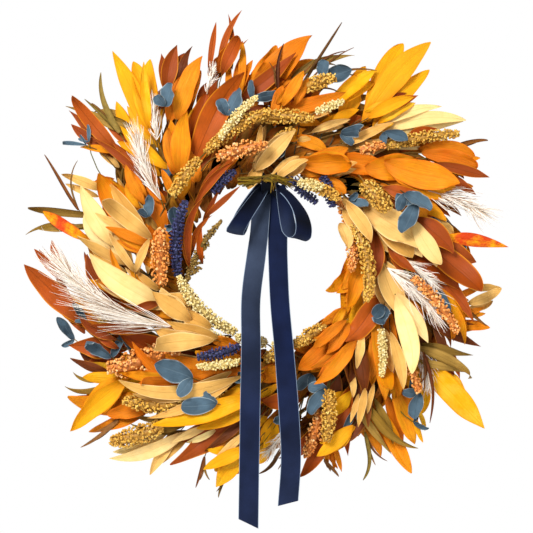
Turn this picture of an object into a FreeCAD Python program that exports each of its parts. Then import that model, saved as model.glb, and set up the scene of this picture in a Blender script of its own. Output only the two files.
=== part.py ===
"""Harvest door wreath: a wire form with stem bundles bound to it, a swirl of dried foliage, a ribbon bow
and a hanger.

Frame: +Z up, the front faces -Y, the door is behind at +Y. The origin is the hook seat: the top inside of
the hanger's loop. Places round the wreath are given as a clock angle, in degrees clockwise from the top as
seen from the front, a radius from the ring centre, and a height, which is the distance forward of the back
rings' plane.
"""

import math
import os
from collections import namedtuple

import FreeCAD, Part

Vector, Rotation, Placement = FreeCAD.Vector, FreeCAD.Rotation, FreeCAD.Placement

doc = FreeCAD.newDocument("harvest_wreath")
sheet = doc.addObject("Spreadsheet::Sheet", "Sizes")

SIZES = {
    # wire form: a 12 inch, four-ring wreath form
    "ring_drop": 180.4,
    "outer_ring_radius": 152.4,
    "upper_outer_radius": 138.0,
    "upper_inner_radius": 122.4,
    "inner_ring_radius": 108.0,
    "ring_raise": 14.2,
    "ring_wire_radius": 1.6,
    "crossbar_count": 8,
    "crossbar_wire_radius": 1.25,
    "crossbar_rise": 14.0,
    # stems and binding wire
    "bundle_radius": 5.4,
    "bundle_gap": 0.3,
    "bundles_per_lane": 12,
    "bundle_span": 29.0,
    "binding_wire_radius": 0.5,
    "binding_clearance": 0.4,
    "binding_corner": 3.0,
    # hanger
    "hanger_wire_radius": 1.2,
    "hanger_loop_inside": 9.0,
    "hanger_eye_clearance": 0.4,
    # foliage
    "foliage_base": 31.5,
    "foliage_slope": 0.17,
    "foliage_mid_radius": 130.0,
    "foliage_dome": 0.0009,
    "layer_step": 3.0,
    "leaf_thickness": 0.9,
    "sprig_gap": 0.9,
    # bow
    "ribbon_width": 22.0,
    "ribbon_thickness": 1.0,
    "bow_height": 74.0,
    "knot_across": 20.0,
    "knot_tall": 20.0,
    "knot_deep": 15.0,
    "knot_left": 6.0,
    "knot_above_centre": 84.0,
    "tail_hinge_above_centre": 18.0,
    "left_tail_drop": 302.0,
    "right_tail_drop": 279.0,
    "tie_wire_radius": 0.6,
}
for row_number, (alias, number) in enumerate(SIZES.items(), start=1):
    sheet.set(f"A{row_number}", str(number))
    sheet.setAlias(f"A{row_number}", alias)
doc.recompute()

RING_CENTRE_Z = -sheet.ring_drop


# ---------------------------------------------------------------- helpers


def bind(feature, **expressions):
    """Bind properties of a feature to spreadsheet expressions."""
    for name, expression in expressions.items():
        feature.setExpression(name, expression)


def at_clock(clock, radius, height):
    """A point given by clock angle, radius and height, in the part's frame."""
    turn = math.radians(clock)
    return Vector(radius * math.sin(turn), -height, RING_CENTRE_Z + radius * math.cos(turn))


def from_centre(across, up, height):
    """A point given by its distance right of and above the ring centre, and its height."""
    return Vector(across, -height, RING_CENTRE_Z + up)


def around_ring(clock):
    """A rotation with local X outward along the clock angle and local Y clockwise round the ring."""
    turn = math.radians(clock)
    outward = Vector(math.sin(turn), 0, math.cos(turn))
    clockwise = Vector(math.cos(turn), 0, -math.sin(turn))
    return Rotation(outward, clockwise, outward.cross(clockwise), "ZXY")


def radial_plane(clock):
    """A rotation with local X outward along the clock angle and local Y forward."""
    turn = math.radians(clock)
    outward, forward = Vector(math.sin(turn), 0, math.cos(turn)), Vector(0, -1, 0)
    return Rotation(outward, forward, outward.cross(forward), "ZXY")


def add(kind, label):
    feature = doc.addObject(kind, label)
    feature.Label = label
    return feature


def group(label, members):
    """Several separate solids exported as one node."""
    compound = add("Part::Compound", label)
    compound.Links = members
    return compound


def free_form(label, shape):
    feature = add("Part::Feature", label)
    feature.Shape = shape
    return feature


def round_wire(points, corner, radius):
    """A round wire along straight runs joined by tangent arcs."""
    edges, start = [], points[0]
    for before, at, after in zip(points, points[1:], points[2:]):
        back, on = (before - at).normalize(), (after - at).normalize()
        half = back.getAngle(on) / 2
        cut = corner / math.tan(half)
        centre_line = (back + on).normalize()
        middle = at + centre_line * (corner / math.sin(half) - corner)
        edges.append(Part.makeLine(start, at + back * cut))
        edges.append(Part.Arc(at + back * cut, middle, at + on * cut).toShape())
        start = at + on * cut
    edges.append(Part.makeLine(start, points[-1]))
    direction = (points[1] - points[0]).normalize()
    section = Part.Wire([Part.makeCircle(radius, points[0], direction)])
    return Part.Wire(edges).makePipeShell([section], True, False)


# ---------------------------------------------------------------- wire form


def frame_ring(label, radius_name, raised):
    ring = add("Part::Torus", label)
    bind(ring, Radius1=f"Sizes.{radius_name}", Radius2="Sizes.ring_wire_radius")
    height = sheet.ring_raise if raised else 0.0
    ring.Placement = Placement(at_clock(0, 0, height), around_ring(0))
    return ring


def crossbar(label, clock):
    """An arched wire, welded under the rings, from the outer ring to the inner one."""
    middle = (sheet.outer_ring_radius + sheet.inner_ring_radius) / 2
    half_chord = (sheet.outer_ring_radius - sheet.inner_ring_radius) / 2
    rise = sheet.crossbar_rise
    arc_radius = (half_chord**2 + rise**2) / (2 * rise)
    half_angle = math.degrees(math.asin(half_chord / arc_radius))
    bar = add("Part::Torus", label)
    chord = "(Sizes.outer_ring_radius - Sizes.inner_ring_radius) / 2"
    radius = f"(({chord})^2 + Sizes.crossbar_rise^2) / (2 * Sizes.crossbar_rise)"
    bind(bar, Radius1=radius, Radius2="Sizes.crossbar_wire_radius")
    bar.Angle3 = 2 * half_angle
    start = radial_plane(clock).multiply(Rotation(Vector(0, 0, 1), 90 - half_angle))
    bar.Placement = Placement(at_clock(clock, middle, rise - arc_radius), start)
    return bar


def wire_form():
    count = int(sheet.crossbar_count)
    step = 360.0 / count
    bars = [crossbar(f"crossbar_{i + 1}", step * (i + 0.5)) for i in range(count)]
    return [
        frame_ring("outer_back_ring", "outer_ring_radius", raised=False),
        frame_ring("upper_outer_ring", "upper_outer_radius", raised=True),
        frame_ring("upper_inner_ring", "upper_inner_radius", raised=True),
        frame_ring("inner_back_ring", "inner_ring_radius", raised=False),
        group("frame_crossbars", bars),
    ]


# ---------------------------------------------------------------- stems and binding wire

BUNDLE_HEIGHT = sheet.ring_raise + sheet.ring_wire_radius + sheet.bundle_gap + sheet.bundle_radius


def stem_bundles():
    """Bundles in two lanes, one over each raised ring, staggered by half a bundle."""
    step = 360.0 / sheet.bundles_per_lane
    made = []
    lanes = (("upper_inner_radius", 0.0), ("upper_outer_radius", 0.5))
    for radius_name, shift in lanes:
        for i in range(int(sheet.bundles_per_lane)):
            bundle = add("Part::Torus", f"bundle_{len(made) + 1}")
            bind(bundle, Radius1=f"Sizes.{radius_name}", Radius2="Sizes.bundle_radius")
            bind(bundle, Angle3="Sizes.bundle_span")
            bundle.Placement = Placement(at_clock(0, 0, BUNDLE_HEIGHT), around_ring(step * (i + shift)))
            made.append(bundle)
    return group("stem_bundles", made)


def binding_turn():
    """One turn of wire round the form and the stems, in the radial plane at the top."""
    off = sheet.binding_wire_radius + sheet.binding_clearance
    low = -sheet.ring_wire_radius - off
    high = BUNDLE_HEIGHT + sheet.bundle_radius + off
    inner = sheet.inner_ring_radius - sheet.ring_wire_radius - off
    outer = sheet.outer_ring_radius + sheet.ring_wire_radius + off
    corners = ((inner, low), (inner, high), (outer, high), (outer, low))
    middle = at_clock(0, (inner + outer) / 2, low)
    points = [middle] + [at_clock(0, radius, height) for radius, height in corners] + [middle]
    return round_wire(points, sheet.binding_corner, sheet.binding_wire_radius)


def binding_wire():
    """Two turns on each half bundle, spaced clear of the crossbars."""
    step = 180.0 / sheet.bundles_per_lane
    centre, about = at_clock(0, 0, 0), Vector(0, 1, 0)
    turn = binding_turn()
    turns = []
    for i in range(2 * int(sheet.bundles_per_lane)):
        for part_way in (1 / 3, 2 / 3):
            copy = turn.copy()
            copy.rotate(centre, about, step * (i + part_way))
            turns.append(copy)
    return free_form("binding_wire", Part.makeCompound(turns))


# ---------------------------------------------------------------- hanger


def hanger():
    """A loop for the door hook, a shank and an eye round the top of the outer ring."""
    wire = sheet.hanger_wire_radius
    loop = add("Part::Torus", "hanger_hook_loop")
    bind(
        loop,
        Radius1="Sizes.hanger_loop_inside + Sizes.hanger_wire_radius",
        Radius2="Sizes.hanger_wire_radius",
    )
    loop.Placement = Placement(Vector(0, 0, -sheet.hanger_loop_inside), Rotation(Vector(1, 0, 0), 90))

    eye_radius = sheet.ring_wire_radius + sheet.hanger_eye_clearance + wire
    eye = add("Part::Torus", "hanger_ring_eye")
    bind(eye, Radius1="Sizes.ring_wire_radius + Sizes.hanger_eye_clearance + Sizes.hanger_wire_radius")
    bind(eye, Radius2="Sizes.hanger_wire_radius")
    eye.Placement = Placement(at_clock(0, sheet.outer_ring_radius, 0), Rotation(Vector(0, 1, 0), 90))

    shank_low = RING_CENTRE_Z + sheet.outer_ring_radius + eye_radius
    shank_high = -2 * sheet.hanger_loop_inside - wire
    shank = add("Part::Cylinder", "hanger_shank")
    bind(shank, Radius="Sizes.hanger_wire_radius")
    shank.Height = shank_high - shank_low
    shank.Placement = Placement(Vector(0, 0, shank_low), Rotation())

    whole = add("Part::MultiFuse", "hanger_loop")
    whole.Shapes = [loop, shank, eye]
    return whole


# ---------------------------------------------------------------- foliage

# Every sprig follows one spiral surface that rises clockwise and falls away to both rims. Two sprigs that
# cross in plan stay a fixed distance apart, their difference in lift, so each is lifted until it is clear.
# Columns: clock and radius of the base, clock and radius of the tip, width, layer (0 is nearest the form),
# and bow, the outward bulge of the middle as a share of the length.
Sprig = namedtuple("Sprig", "base_clock base_radius tip_clock tip_radius width layer bow", defaults=(0.0,))

LEAVES = {
    "golden_leaves": [
        (318, 208, 324, 294, 25, 0), (319, 214, 327, 265, 12, 1), (311, 171, 310, 229, 18, 2, 0.1),
        (32, 205, 33, 302, 30, 0), (34, 200, 39, 242, 16, 1), (21, 193, 27, 242, 20, 0),
        (125, 215, 129, 296, 30, 0), (117, 101, 142, 119, 18, 2), (138, 230, 141, 257, 8, 0),
        (157, 201, 168, 218, 18, 2), (191, 213, 195, 256, 26, 0), (190, 210, 200, 238, 16, 1),
        (194, 153, 219, 217, 24, 1), (232, 222, 232, 296, 26, 1), (233, 213, 240, 246, 16, 0),
    ],
    "orange_husks": [
        (304, 222, 301, 252, 10, 0), (284, 155, 297, 220, 30, 1), (296, 165, 303, 198, 14, 2),
        (329, 201, 340, 246, 24, 1), (318, 153, 329, 197, 24, 2), (357, 196, 10, 255, 35, 0),
        (349, 199, 353, 247, 10, 1), (5, 168, 25, 195, 18, 2), (4, 180, 9, 212, 14, 2),
        (22, 115, 42, 150, 28, 2), (32, 130, 52, 162, 26, 1), (53, 168, 68, 217, 34, 1),
        (56, 213, 66, 259, 20, 0), (62, 160, 76, 196, 18, 0), (82, 195, 88, 208, 8, 0),
        (88, 212, 95, 218, 8, 0), (92, 92, 125, 86, 22, 2), (101, 191, 114, 225, 10, 1, 0.1),
        (109, 214, 106, 248, 12, 0), (125, 136, 144, 201, 22, 2), (130, 165, 137, 205, 18, 1),
        (134, 97, 158, 97, 14, 3), (137, 107, 170, 117, 28, 2), (138, 202, 143, 253, 20, 0),
        (141, 123, 162, 143, 18, 3), (145, 203, 148, 277, 20, 0), (162, 217, 162, 243, 7, 0),
        (176, 120, 190, 124, 24, 1), (201, 129, 225, 179, 12, 2), (203, 112, 222, 132, 20, 1),
        (214, 160, 238, 213, 20, 1), (216, 170, 226, 212, 8, 2), (222, 215, 229, 248, 20, 0),
        (226, 230, 236, 280, 22, 0), (250, 190, 262, 228, 14, 0), (252, 152, 272, 207, 12, 2),
        (272, 128, 287, 150, 22, 1), (279, 146, 283, 190, 12, 2),
    ],
    "rust_leaves": [
        (306, 228, 309.5, 300, 19, 0), (303, 175, 307, 247, 10, 0), (329, 231, 335, 269, 20, 0),
        (326, 146, 352, 213, 32, 1), (322, 160, 346, 200, 26, 0), (346, 225, 353, 262, 18, 1),
        (345, 232, 351, 288, 9, 0), (311, 110, 339, 122, 10, 2), (277, 96, 312, 114, 10, 2),
        (352, 190, 8, 225, 20, 0), (5, 175, 12, 205, 18, 1), (36, 216, 41, 243, 14, 0),
        (47, 205, 50, 234, 14, 0), (60, 205, 70, 226, 16, 0), (60, 215, 69, 253, 14, 1),
        (58, 150, 68, 178, 18, 1), (66, 140, 75, 185, 20, 0), (76, 168, 86, 200, 28, 1),
        (77, 111, 102, 113, 20, 2), (85, 129, 96, 151, 14, 1), (87, 177, 100, 239, 34, 1),
        (95, 180, 106, 232, 20, 0), (113, 116, 141, 119, 30, 2), (116, 205, 121, 245, 12, 0),
        (150, 165, 163, 205, 24, 0), (160, 184, 175, 250, 22, 0), (172, 150, 186, 158, 22, 0),
        (193, 166, 210, 246, 36, 0), (227, 140, 246, 200, 28, 0), (243, 205, 249, 245, 26, 0),
        (246, 200, 254, 228, 12, 1), (244, 167, 252, 214, 14, 2), (256, 227, 271, 273, 28, 0),
        (266, 237, 274, 264, 12, 1),
    ],
    "brown_leaves": [
        (332, 225, 338, 263, 12, 0), (111, 189, 113, 246, 14, 1), (112, 192, 120, 221, 12, 0),
        (135, 128, 147, 178, 20, 1), (138, 120, 150, 190, 30, 0), (140, 150, 152, 205, 16, 1),
        (147, 180, 159, 217, 24, 0), (152, 140, 160, 178, 18, 0), (192, 180, 201, 224, 12, 0),
        (238, 225, 245, 252, 12, 0),
    ],
    "tan_leaves": [
        (293, 217, 293, 259, 12, 0), (284, 153, 293, 217, 20, 2), (352, 130, 356, 158, 8, 2),
        (354, 110, 11, 146, 18, 3), (5, 98, 17, 122, 12, 2), (10, 160, 20, 180, 10, 2),
        (18, 155, 28, 180, 9, 2), (33, 161, 41, 201, 12, 1), (30, 118, 40, 142, 10, 3),
        (55, 101, 78, 110, 18, 3), (65, 120, 85, 165, 35, 2), (73, 174, 83, 209, 16, 0),
        (96, 119, 115, 149, 28, 3), (101, 225, 97, 255, 13, 0), (124, 157, 135, 199, 15, 2),
        (146, 175, 154, 200, 10, 2), (191, 195, 199, 233, 10, 1), (205, 145, 232, 222, 18, 2),
        (210, 226, 212, 273, 14, 0), (225, 117, 242, 171, 22, 3), (241, 113, 257, 138, 22, 2),
        (269, 159, 281, 184, 10, 1), (269, 151, 282, 137, 10, 2), (271, 173, 278, 221, 14, 1),
    ],
    "cream_leaves": [
        (41, 201, 52, 269, 18, 0), (38, 200, 46, 256, 14, 0), (77, 159, 94, 181, 22, 3),
        (111, 145, 128, 197, 24, 3), (204, 200, 211, 228, 10, 1), (210, 226, 219, 289, 18, 0),
        (255, 144, 272, 210, 30, 3), (280, 188, 292, 231, 24, 1),
    ],
    "olive_leaves": [
        (311, 228, 306, 288, 12, 0, 0.1), (8, 215, 20, 253, 12, 0), (120, 196, 118, 268, 14, 1, -0.1),
        (147, 196, 145, 262, 12, 1, 0.12), (211, 211, 221, 249, 9, 0), (234, 235, 238, 276, 8, 0, 0.1),
        (284, 222, 281, 297, 10, 0),
    ],
    "mottled_leaves": [(278, 217, 283, 264, 15, 1), (82, 200, 86, 259, 16, 1)],
    "grass_blades": [
        (310, 224, 317, 290, 7, 0, 0.1), (7, 182, 17, 274, 4, 0), (8, 185, 26, 253, 4, 0),
        (1, 190, 0, 244, 4, 0), (5, 200, 11, 228, 4, 0), (57, 225, 59, 275, 6, 0),
        (103, 215, 107, 245, 4, 0), (121, 190, 138, 234, 4, 1, 0.15), (152, 212, 155, 267, 5, 0, -0.1),
        (166, 225, 163, 247, 4, 0), (176, 210, 179, 238, 4, 0), (178, 205, 183, 240, 5, 0),
        (193, 240, 194, 268, 4, 0), (200, 228, 199, 264, 4, 0, 0.12), (225, 246, 226, 299, 5, 0, 0.12),
        (285, 225, 296, 280, 4, 0),
    ],
    "eucalyptus_leaves": [
        (302, 246, 299, 278, 6, 0), (303, 246, 307, 258, 6, 0), (325, 210, 331, 229, 22, 1),
        (310, 150, 318, 162, 16, 1), (290, 148, 299, 160, 16, 1), (290, 116, 300, 128, 18, 2),
        (342, 170, 350, 196, 24, 2), (352, 182, 3, 186, 15, 2), (357, 114, 6, 130, 18, 3),
        (4, 188, 8, 200, 10, 1), (14, 210, 23, 230, 24, 1), (27, 160, 36, 182, 18, 1),
        (40, 188, 48, 202, 16, 1), (50, 105, 60, 120, 14, 2), (62, 160, 72, 182, 20, 2),
        (66, 168, 79, 138, 24, 3), (73, 176, 79, 188, 12, 0), (83, 200, 88, 216, 16, 0),
        (99, 183, 107, 201, 10, 1), (112, 126, 122, 142, 26, 2), (119, 128, 127, 140, 18, 1),
        (129, 166, 136, 180, 10, 1), (130, 196, 134, 208, 6, 1), (132, 213, 139, 232, 20, 1),
        (139, 233, 137, 252, 8, 1), (152, 86, 160, 94, 10, 3), (152, 184, 158, 200, 10, 1),
        (158, 148, 168, 172, 22, 3), (162, 128, 172, 142, 16, 1), (172, 170, 184, 178, 14, 1),
        (188, 215, 193, 226, 8, 0), (195, 134, 203, 140, 10, 1), (203, 166, 214, 190, 24, 3),
        (216, 152, 232, 172, 30, 3), (236, 180, 244, 190, 10, 1), (240, 208, 252, 232, 18, 2),
        (247, 160, 253, 170, 9, 1), (249, 238, 257, 248, 14, 0), (253, 218, 259, 232, 10, 0),
        (259, 210, 265, 220, 9, 1),
    ],
}

SEED_HEADS = {
    "gold_millet": [
        (328, 142, 358, 166, 13, 2), (352, 160, 15, 163, 13, 2), (0, 132, 8, 148, 12, 1),
        (303, 134, 324, 140, 13, 2), (8, 192, 18, 214, 14, 2), (20, 93, 45, 98, 12, 1),
        (44, 177, 55, 249, 12, 0), (48, 129, 65, 136, 18, 3), (63, 94, 113, 107, 13, 1),
        (140, 87, 167, 90, 14, 2), (157, 150, 164, 203, 14, 3), (172, 98, 186, 104, 14, 1),
        (200, 150, 228, 224, 18, 1), (215, 217, 223, 267, 18, 1, 0.08), (247, 165, 252, 205, 12, 0),
    ],
    "cream_wheat": [
        (336, 148, 354, 182, 10, 3), (15, 170, 23, 191, 10, 3), (16, 90, 32, 97, 12, 1),
        (122, 136, 137, 170, 10, 3), (170, 87, 182, 89, 10, 2), (186, 87, 208, 91, 14, 1),
        (200, 113, 217, 140, 10, 3), (210, 86, 262, 105, 14, 0), (212, 99, 245, 124, 13, 1),
    ],
    "orange_sorghum": [
        (331, 131, 356, 128, 15, 3), (37, 155, 43, 177, 12, 2), (45, 97, 96, 82, 13, 0),
        (96, 150, 111, 213, 12, 3), (127, 184, 132, 213, 10, 1), (163, 169, 171, 216, 14, 2),
        (228, 140, 238, 217, 24, 1), (259, 125, 287, 128, 17, 2),
    ],
    "navy_lavender": [
        (318, 104, 337, 110, 10, 1), (4, 91, 20, 92, 9, 0), (15, 86, 35, 80, 9, 0),
        (28, 108, 46, 88, 12, 1), (203, 98, 220, 133, 11, 2), (262, 106, 305, 118, 12, 1),
        (288, 182, 295, 213, 8, 0),
    ],
}

PLUMES = {
    "white_plumes": [
        (299, 143, 316, 221, 22, 1), (316, 188, 325, 232, 18, 0), (338, 201, 344, 232, 16, 0),
        (63, 178, 80, 250, 30, 1), (89, 143, 100, 185, 18, 1), (93, 122, 112, 201, 28, 2),
        (120, 181, 131, 229, 18, 0), (176, 182, 184, 218, 18, 0), (239, 131, 276, 254, 30, 3),
    ],
}

# The share of a sprig's full width at these shares of its way from base to tip, for each kind of sprig.
STATION_SHARES = (0.0, 0.15, 0.35, 0.6, 0.82, 1.0)
LEAF_WIDTHS = (0.30, 0.70, 1.0, 0.92, 0.55, 0.12)
SEED_WIDTHS = (0.45, 0.85, 1.0, 0.95, 0.75, 0.30)
PLUME_WIDTHS = (0.20, 0.60, 0.95, 1.0, 0.70, 0.20)

# Half-thickness over half-width of the solid kinds.
SEED_ROUNDNESS = 0.6
PLUME_ROUNDNESS = 0.25
OVAL_ALLOWANCE = 1.1

# How far a sprig's straight runs between stations may stray from the spiral surface.
CURVE_ALLOWANCE = 0.35

# A footprint is this many discs, each wider than the sprig by the margin.
FOOTPRINT_DISCS = 15
FOOTPRINT_MARGIN = 1.2


def clock_turn(sprig):
    """Degrees that a sprig runs clockwise from base to tip."""
    return (sprig.tip_clock - sprig.base_clock + 180) % 360 - 180


def plan_points(sprig, shares=STATION_SHARES):
    """Points of the sprig's middle line as (clock, radius)."""
    turn = clock_turn(sprig)
    rise = sprig.tip_radius - sprig.base_radius
    length = math.hypot(rise, math.radians(turn) * (sprig.base_radius + sprig.tip_radius) / 2)
    return [
        (
            sprig.base_clock + turn * share,
            sprig.base_radius + rise * share + sprig.bow * length * 4 * share * (1 - share),
        )
        for share in shares
    ]


def flat_point(clock, radius):
    turn = math.radians(clock)
    return radius * math.sin(turn), radius * math.cos(turn)


def spiral_height(sprig, lift, across, up):
    """Height of the sprig's middle surface over a plan point."""
    clock = math.degrees(math.atan2(across, up))
    ahead = (clock - sprig.base_clock + 180) % 360 - 180
    climb = sheet.foliage_slope * sheet.foliage_mid_radius * math.radians(ahead)
    fall = sheet.foliage_dome * (math.hypot(across, up) - sheet.foliage_mid_radius) ** 2
    return sheet.foliage_base + lift + climb - fall


def sections(sprig, widths):
    """For each station: the plan point, the unit direction across the sprig, and the half-width."""
    middle = [flat_point(clock, radius) for clock, radius in plan_points(sprig)]
    made = []
    for i, (across, up) in enumerate(middle):
        before, after = middle[max(i - 1, 0)], middle[min(i + 1, len(middle) - 1)]
        run, climb = after[0] - before[0], after[1] - before[1]
        length = math.hypot(run, climb)
        made.append(((across, up), (climb / length, -run / length), sprig.width / 2 * widths[i]))
    return made


def leaf_solid(sprig, lift):
    """A thin blade that follows the spiral surface at both edges."""
    wires = []
    half_thick = sheet.leaf_thickness / 2
    for (across, up), (side_x, side_z), half in sections(sprig, LEAF_WIDTHS):
        corners = []
        for sign, level in ((-1, -1), (1, -1), (1, 1), (-1, 1)):
            x, z = across + sign * half * side_x, up + sign * half * side_z
            height = spiral_height(sprig, lift, x, z) + level * half_thick
            corners.append(from_centre(x, z, height))
        wires.append(Part.makePolygon(corners + corners[:1]))
    return Part.makeLoft(wires, True, False)


def round_solid(sprig, lift, widths, roundness):
    """A tapered body with oval sections, for seed heads and plumes."""
    wires = []
    for (across, up), (side_x, side_z), half in sections(sprig, widths):
        x, z = across + half * side_x, up + half * side_z
        centre = from_centre(across, up, spiral_height(sprig, lift, across, up))
        side = from_centre(x, z, spiral_height(sprig, lift, x, z))
        front = centre + Vector(0, -half * roundness, 0)
        wires.append(Part.Wire([Part.Ellipse(side, front, centre).toShape()]))
    return Part.makeLoft(wires, True, False)


def half_depth(sprig, roundness):
    """How far the solid may reach from its middle surface."""
    spare = CURVE_ALLOWANCE + sheet.foliage_dome * (sprig.width / 2) ** 2
    if roundness is None:
        return sheet.leaf_thickness / 2 + spare
    return sprig.width / 2 * roundness * OVAL_ALLOWANCE + spare


def crosses(one, other):
    """Whether two sprigs' outlines come near each other in plan."""
    for (x, z), reach in one:
        for (other_x, other_z), other_reach in other:
            if (x - other_x) ** 2 + (z - other_z) ** 2 < (reach + other_reach) ** 2:
                return True
    return False


def footprint(sprig):
    """Overlapping discs that cover the sprig in plan."""
    shares = [i / (FOOTPRINT_DISCS - 1) for i in range(FOOTPRINT_DISCS)]
    discs = []
    for (clock, radius), share in zip(plan_points(sprig, shares), shares):
        taper = 0.45 + 0.6 * math.sin(math.pi * min(max(share, 0.1), 0.9))
        discs.append((flat_point(clock, radius), sprig.width / 2 * min(taper, 1.0) + FOOTPRINT_MARGIN))
    return discs


def phase(sprig, lift):
    """The sprig's height with the spiral taken out: two sprigs' difference is their spacing."""
    return lift - sheet.foliage_slope * sheet.foliage_mid_radius * math.radians(sprig.base_clock)


def spacing(placed, sprig, lift):
    """Distance between the middle surfaces of a placed sprig and a new one, signed."""
    other, other_lift = placed
    turn = 2 * math.pi * sheet.foliage_slope * sheet.foliage_mid_radius
    gap = phase(sprig, lift) - phase(other, other_lift)
    return (gap + turn / 2) % turn - turn / 2


def lifted():
    """Every sprig with its kind and the smallest lift from its layer at which it is clear of the others."""
    waiting = []
    for table, roundness in ((LEAVES, None), (SEED_HEADS, SEED_ROUNDNESS), (PLUMES, PLUME_ROUNDNESS)):
        for species, rows in table.items():
            waiting += [(species, Sprig(*row), roundness) for row in rows]
    waiting.sort(key=lambda item: (item[1].layer, -item[1].base_clock, item[1].base_radius))
    placed = []
    for species, sprig, roundness in waiting:
        depth, discs = half_depth(sprig, roundness), footprint(sprig)
        rivals = [p for p in placed if crosses(p[4], discs)]
        lift = sprig.layer * sheet.layer_step + (0 if roundness is None else depth)
        blocked = True
        while blocked:
            blocked = False
            for _, other, other_lift, other_depth, _, _ in rivals:
                room = depth + other_depth + sheet.sprig_gap
                apart = spacing((other, other_lift), sprig, lift)
                if abs(apart) < room - 1e-6:
                    lift += room - apart
                    blocked = True
        placed.append((species, sprig, lift, depth, discs, roundness))
    return placed


def side_of(sprig):
    """Which third of the wreath a sprig starts in."""
    clock = sprig.base_clock % 360
    if clock < 60 or clock >= 300:
        return "top"
    return "right" if clock < 180 else "left"


def foliage():
    """One node for each kind of sprig in each third of the wreath."""
    nodes = {}
    for species, sprig, lift, _, _, roundness in lifted():
        if roundness is None:
            solid = leaf_solid(sprig, lift)
        elif species in SEED_HEADS:
            solid = round_solid(sprig, lift, SEED_WIDTHS, roundness)
        else:
            solid = round_solid(sprig, lift, PLUME_WIDTHS, roundness)
        nodes.setdefault(f"{species}_{side_of(sprig)}", []).append(solid)
    return [free_form(label, Part.makeCompound(solids)) for label, solids in sorted(nodes.items())]


# ---------------------------------------------------------------- bow


def knot():
    body = add("Part::Ellipsoid", "bow_knot")
    bind(
        body,
        Radius1="Sizes.knot_tall / 2",
        Radius2="Sizes.knot_across / 2",
        Radius3="Sizes.knot_deep / 2",
    )
    centre = from_centre(-sheet.knot_left, sheet.knot_above_centre, sheet.bow_height + sheet.knot_deep / 2)
    body.Placement = Placement(centre, Rotation())
    return body


def hull_outline(near_radius, far_radius, distance):
    """The outline round two circles, the far one along local X, as a closed wire in the local XY plane."""
    lean = math.asin((far_radius - near_radius) / distance)
    across, along = math.cos(lean), -math.sin(lean)

    def touch(centre_x, radius, side):
        return Vector(centre_x + radius * along, side * radius * across, 0)

    near_top, near_low = touch(0, near_radius, 1), touch(0, near_radius, -1)
    far_top, far_low = touch(distance, far_radius, 1), touch(distance, far_radius, -1)
    return Part.Wire(
        [
            Part.makeLine(near_top, far_top),
            Part.Arc(far_top, Vector(distance + far_radius, 0, 0), far_low).toShape(),
            Part.makeLine(far_low, near_low),
            Part.Arc(near_low, Vector(-near_radius, 0, 0), near_top).toShape(),
        ]
    )


def bow_loop(label, near_radius, far_radius, distance, placement):
    """A closed band of ribbon, round at its far end, centred on its width."""
    thick, width = sheet.ribbon_thickness, sheet.ribbon_width
    outside = Part.Face(hull_outline(near_radius, far_radius, distance))
    inside = Part.Face(hull_outline(near_radius - thick, far_radius - thick, distance))
    band = outside.cut(inside).extrude(Vector(0, 0, width))
    band.translate(Vector(0, 0, -width / 2))
    feature = free_form(label, band)
    feature.Placement = placement
    return feature


# across, up and out: where the band's narrow end lies from the ring centre and out from the bow's back.
# run_across and run_up: which way the band runs. The radii are those of its two ends, distance apart.
Loop = namedtuple(
    "Loop", "label across up out run_across run_up near_radius far_radius distance shows_face"
)
LOOPS = (
    Loop("bow_loop_left", -18.5, 68.0, 14.0, -28.0, -30.0, 3.0, 11.5, 34.0, True),
    Loop("bow_loop_right", 7.5, 70.5, 12.0, 17.0, -26.0, 3.0, 12.0, 32.0, False),
)


def bow_loops():
    """The left loop shows its flat face, the right one its opening."""
    forward = Vector(0, -1, 0)
    made = []
    for loop in LOOPS:
        start = from_centre(loop.across, loop.up, sheet.bow_height + loop.out)
        along = Vector(loop.run_across, 0, loop.run_up).normalize()
        if loop.shows_face:
            turn = Rotation(along, forward, along.cross(forward), "ZXY")
        else:
            turn = Rotation(along, forward.cross(along), forward, "ZXY")
        placement = Placement(start, turn)
        made.append(bow_loop(loop.label, loop.near_radius, loop.far_radius, loop.distance, placement))
    return made


CUT_TOOL_DEPTH = 10.0


def ribbon_run(label, top, bottom, cut_rise=0.0):
    """A flat run of ribbon between two points on its middle line, with an optional slanted lower end."""
    along = (top - bottom).normalize()
    across = Vector(0, 1, 0).cross(along).normalize()
    turn = Rotation(across, along.cross(across), along, "ZXY")
    left_corner = bottom - across * (sheet.ribbon_width / 2)
    run = add("Part::Box", label if not cut_rise else f"{label}_blank")
    bind(run, Length="Sizes.ribbon_width", Width="Sizes.ribbon_thickness")
    run.Height = (bottom - top).Length
    run.Placement = Placement(left_corner, turn)
    if not cut_rise:
        return run
    slant = math.degrees(math.atan2(cut_rise, sheet.ribbon_width))
    tool = add("Part::Box", f"{label}_end_cut")
    tool_length = 2 * sheet.ribbon_width
    tool.Length, tool.Width, tool.Height = tool_length, CUT_TOOL_DEPTH, sheet.ribbon_width
    low_corner, back = left_corner, 0.0
    if cut_rise < 0:
        low_corner, back = left_corner + across * sheet.ribbon_width, -tool_length
    tool_turn = turn.multiply(Rotation(Vector(0, 1, 0), -slant))
    to_corner = tool_turn.multVec(Vector(back, -CUT_TOOL_DEPTH / 2, -sheet.ribbon_width))
    tool.Placement = Placement(low_corner + to_corner, tool_turn)
    cut = add("Part::Cut", label)
    cut.Base, cut.Tool = run, tool
    return cut


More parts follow.
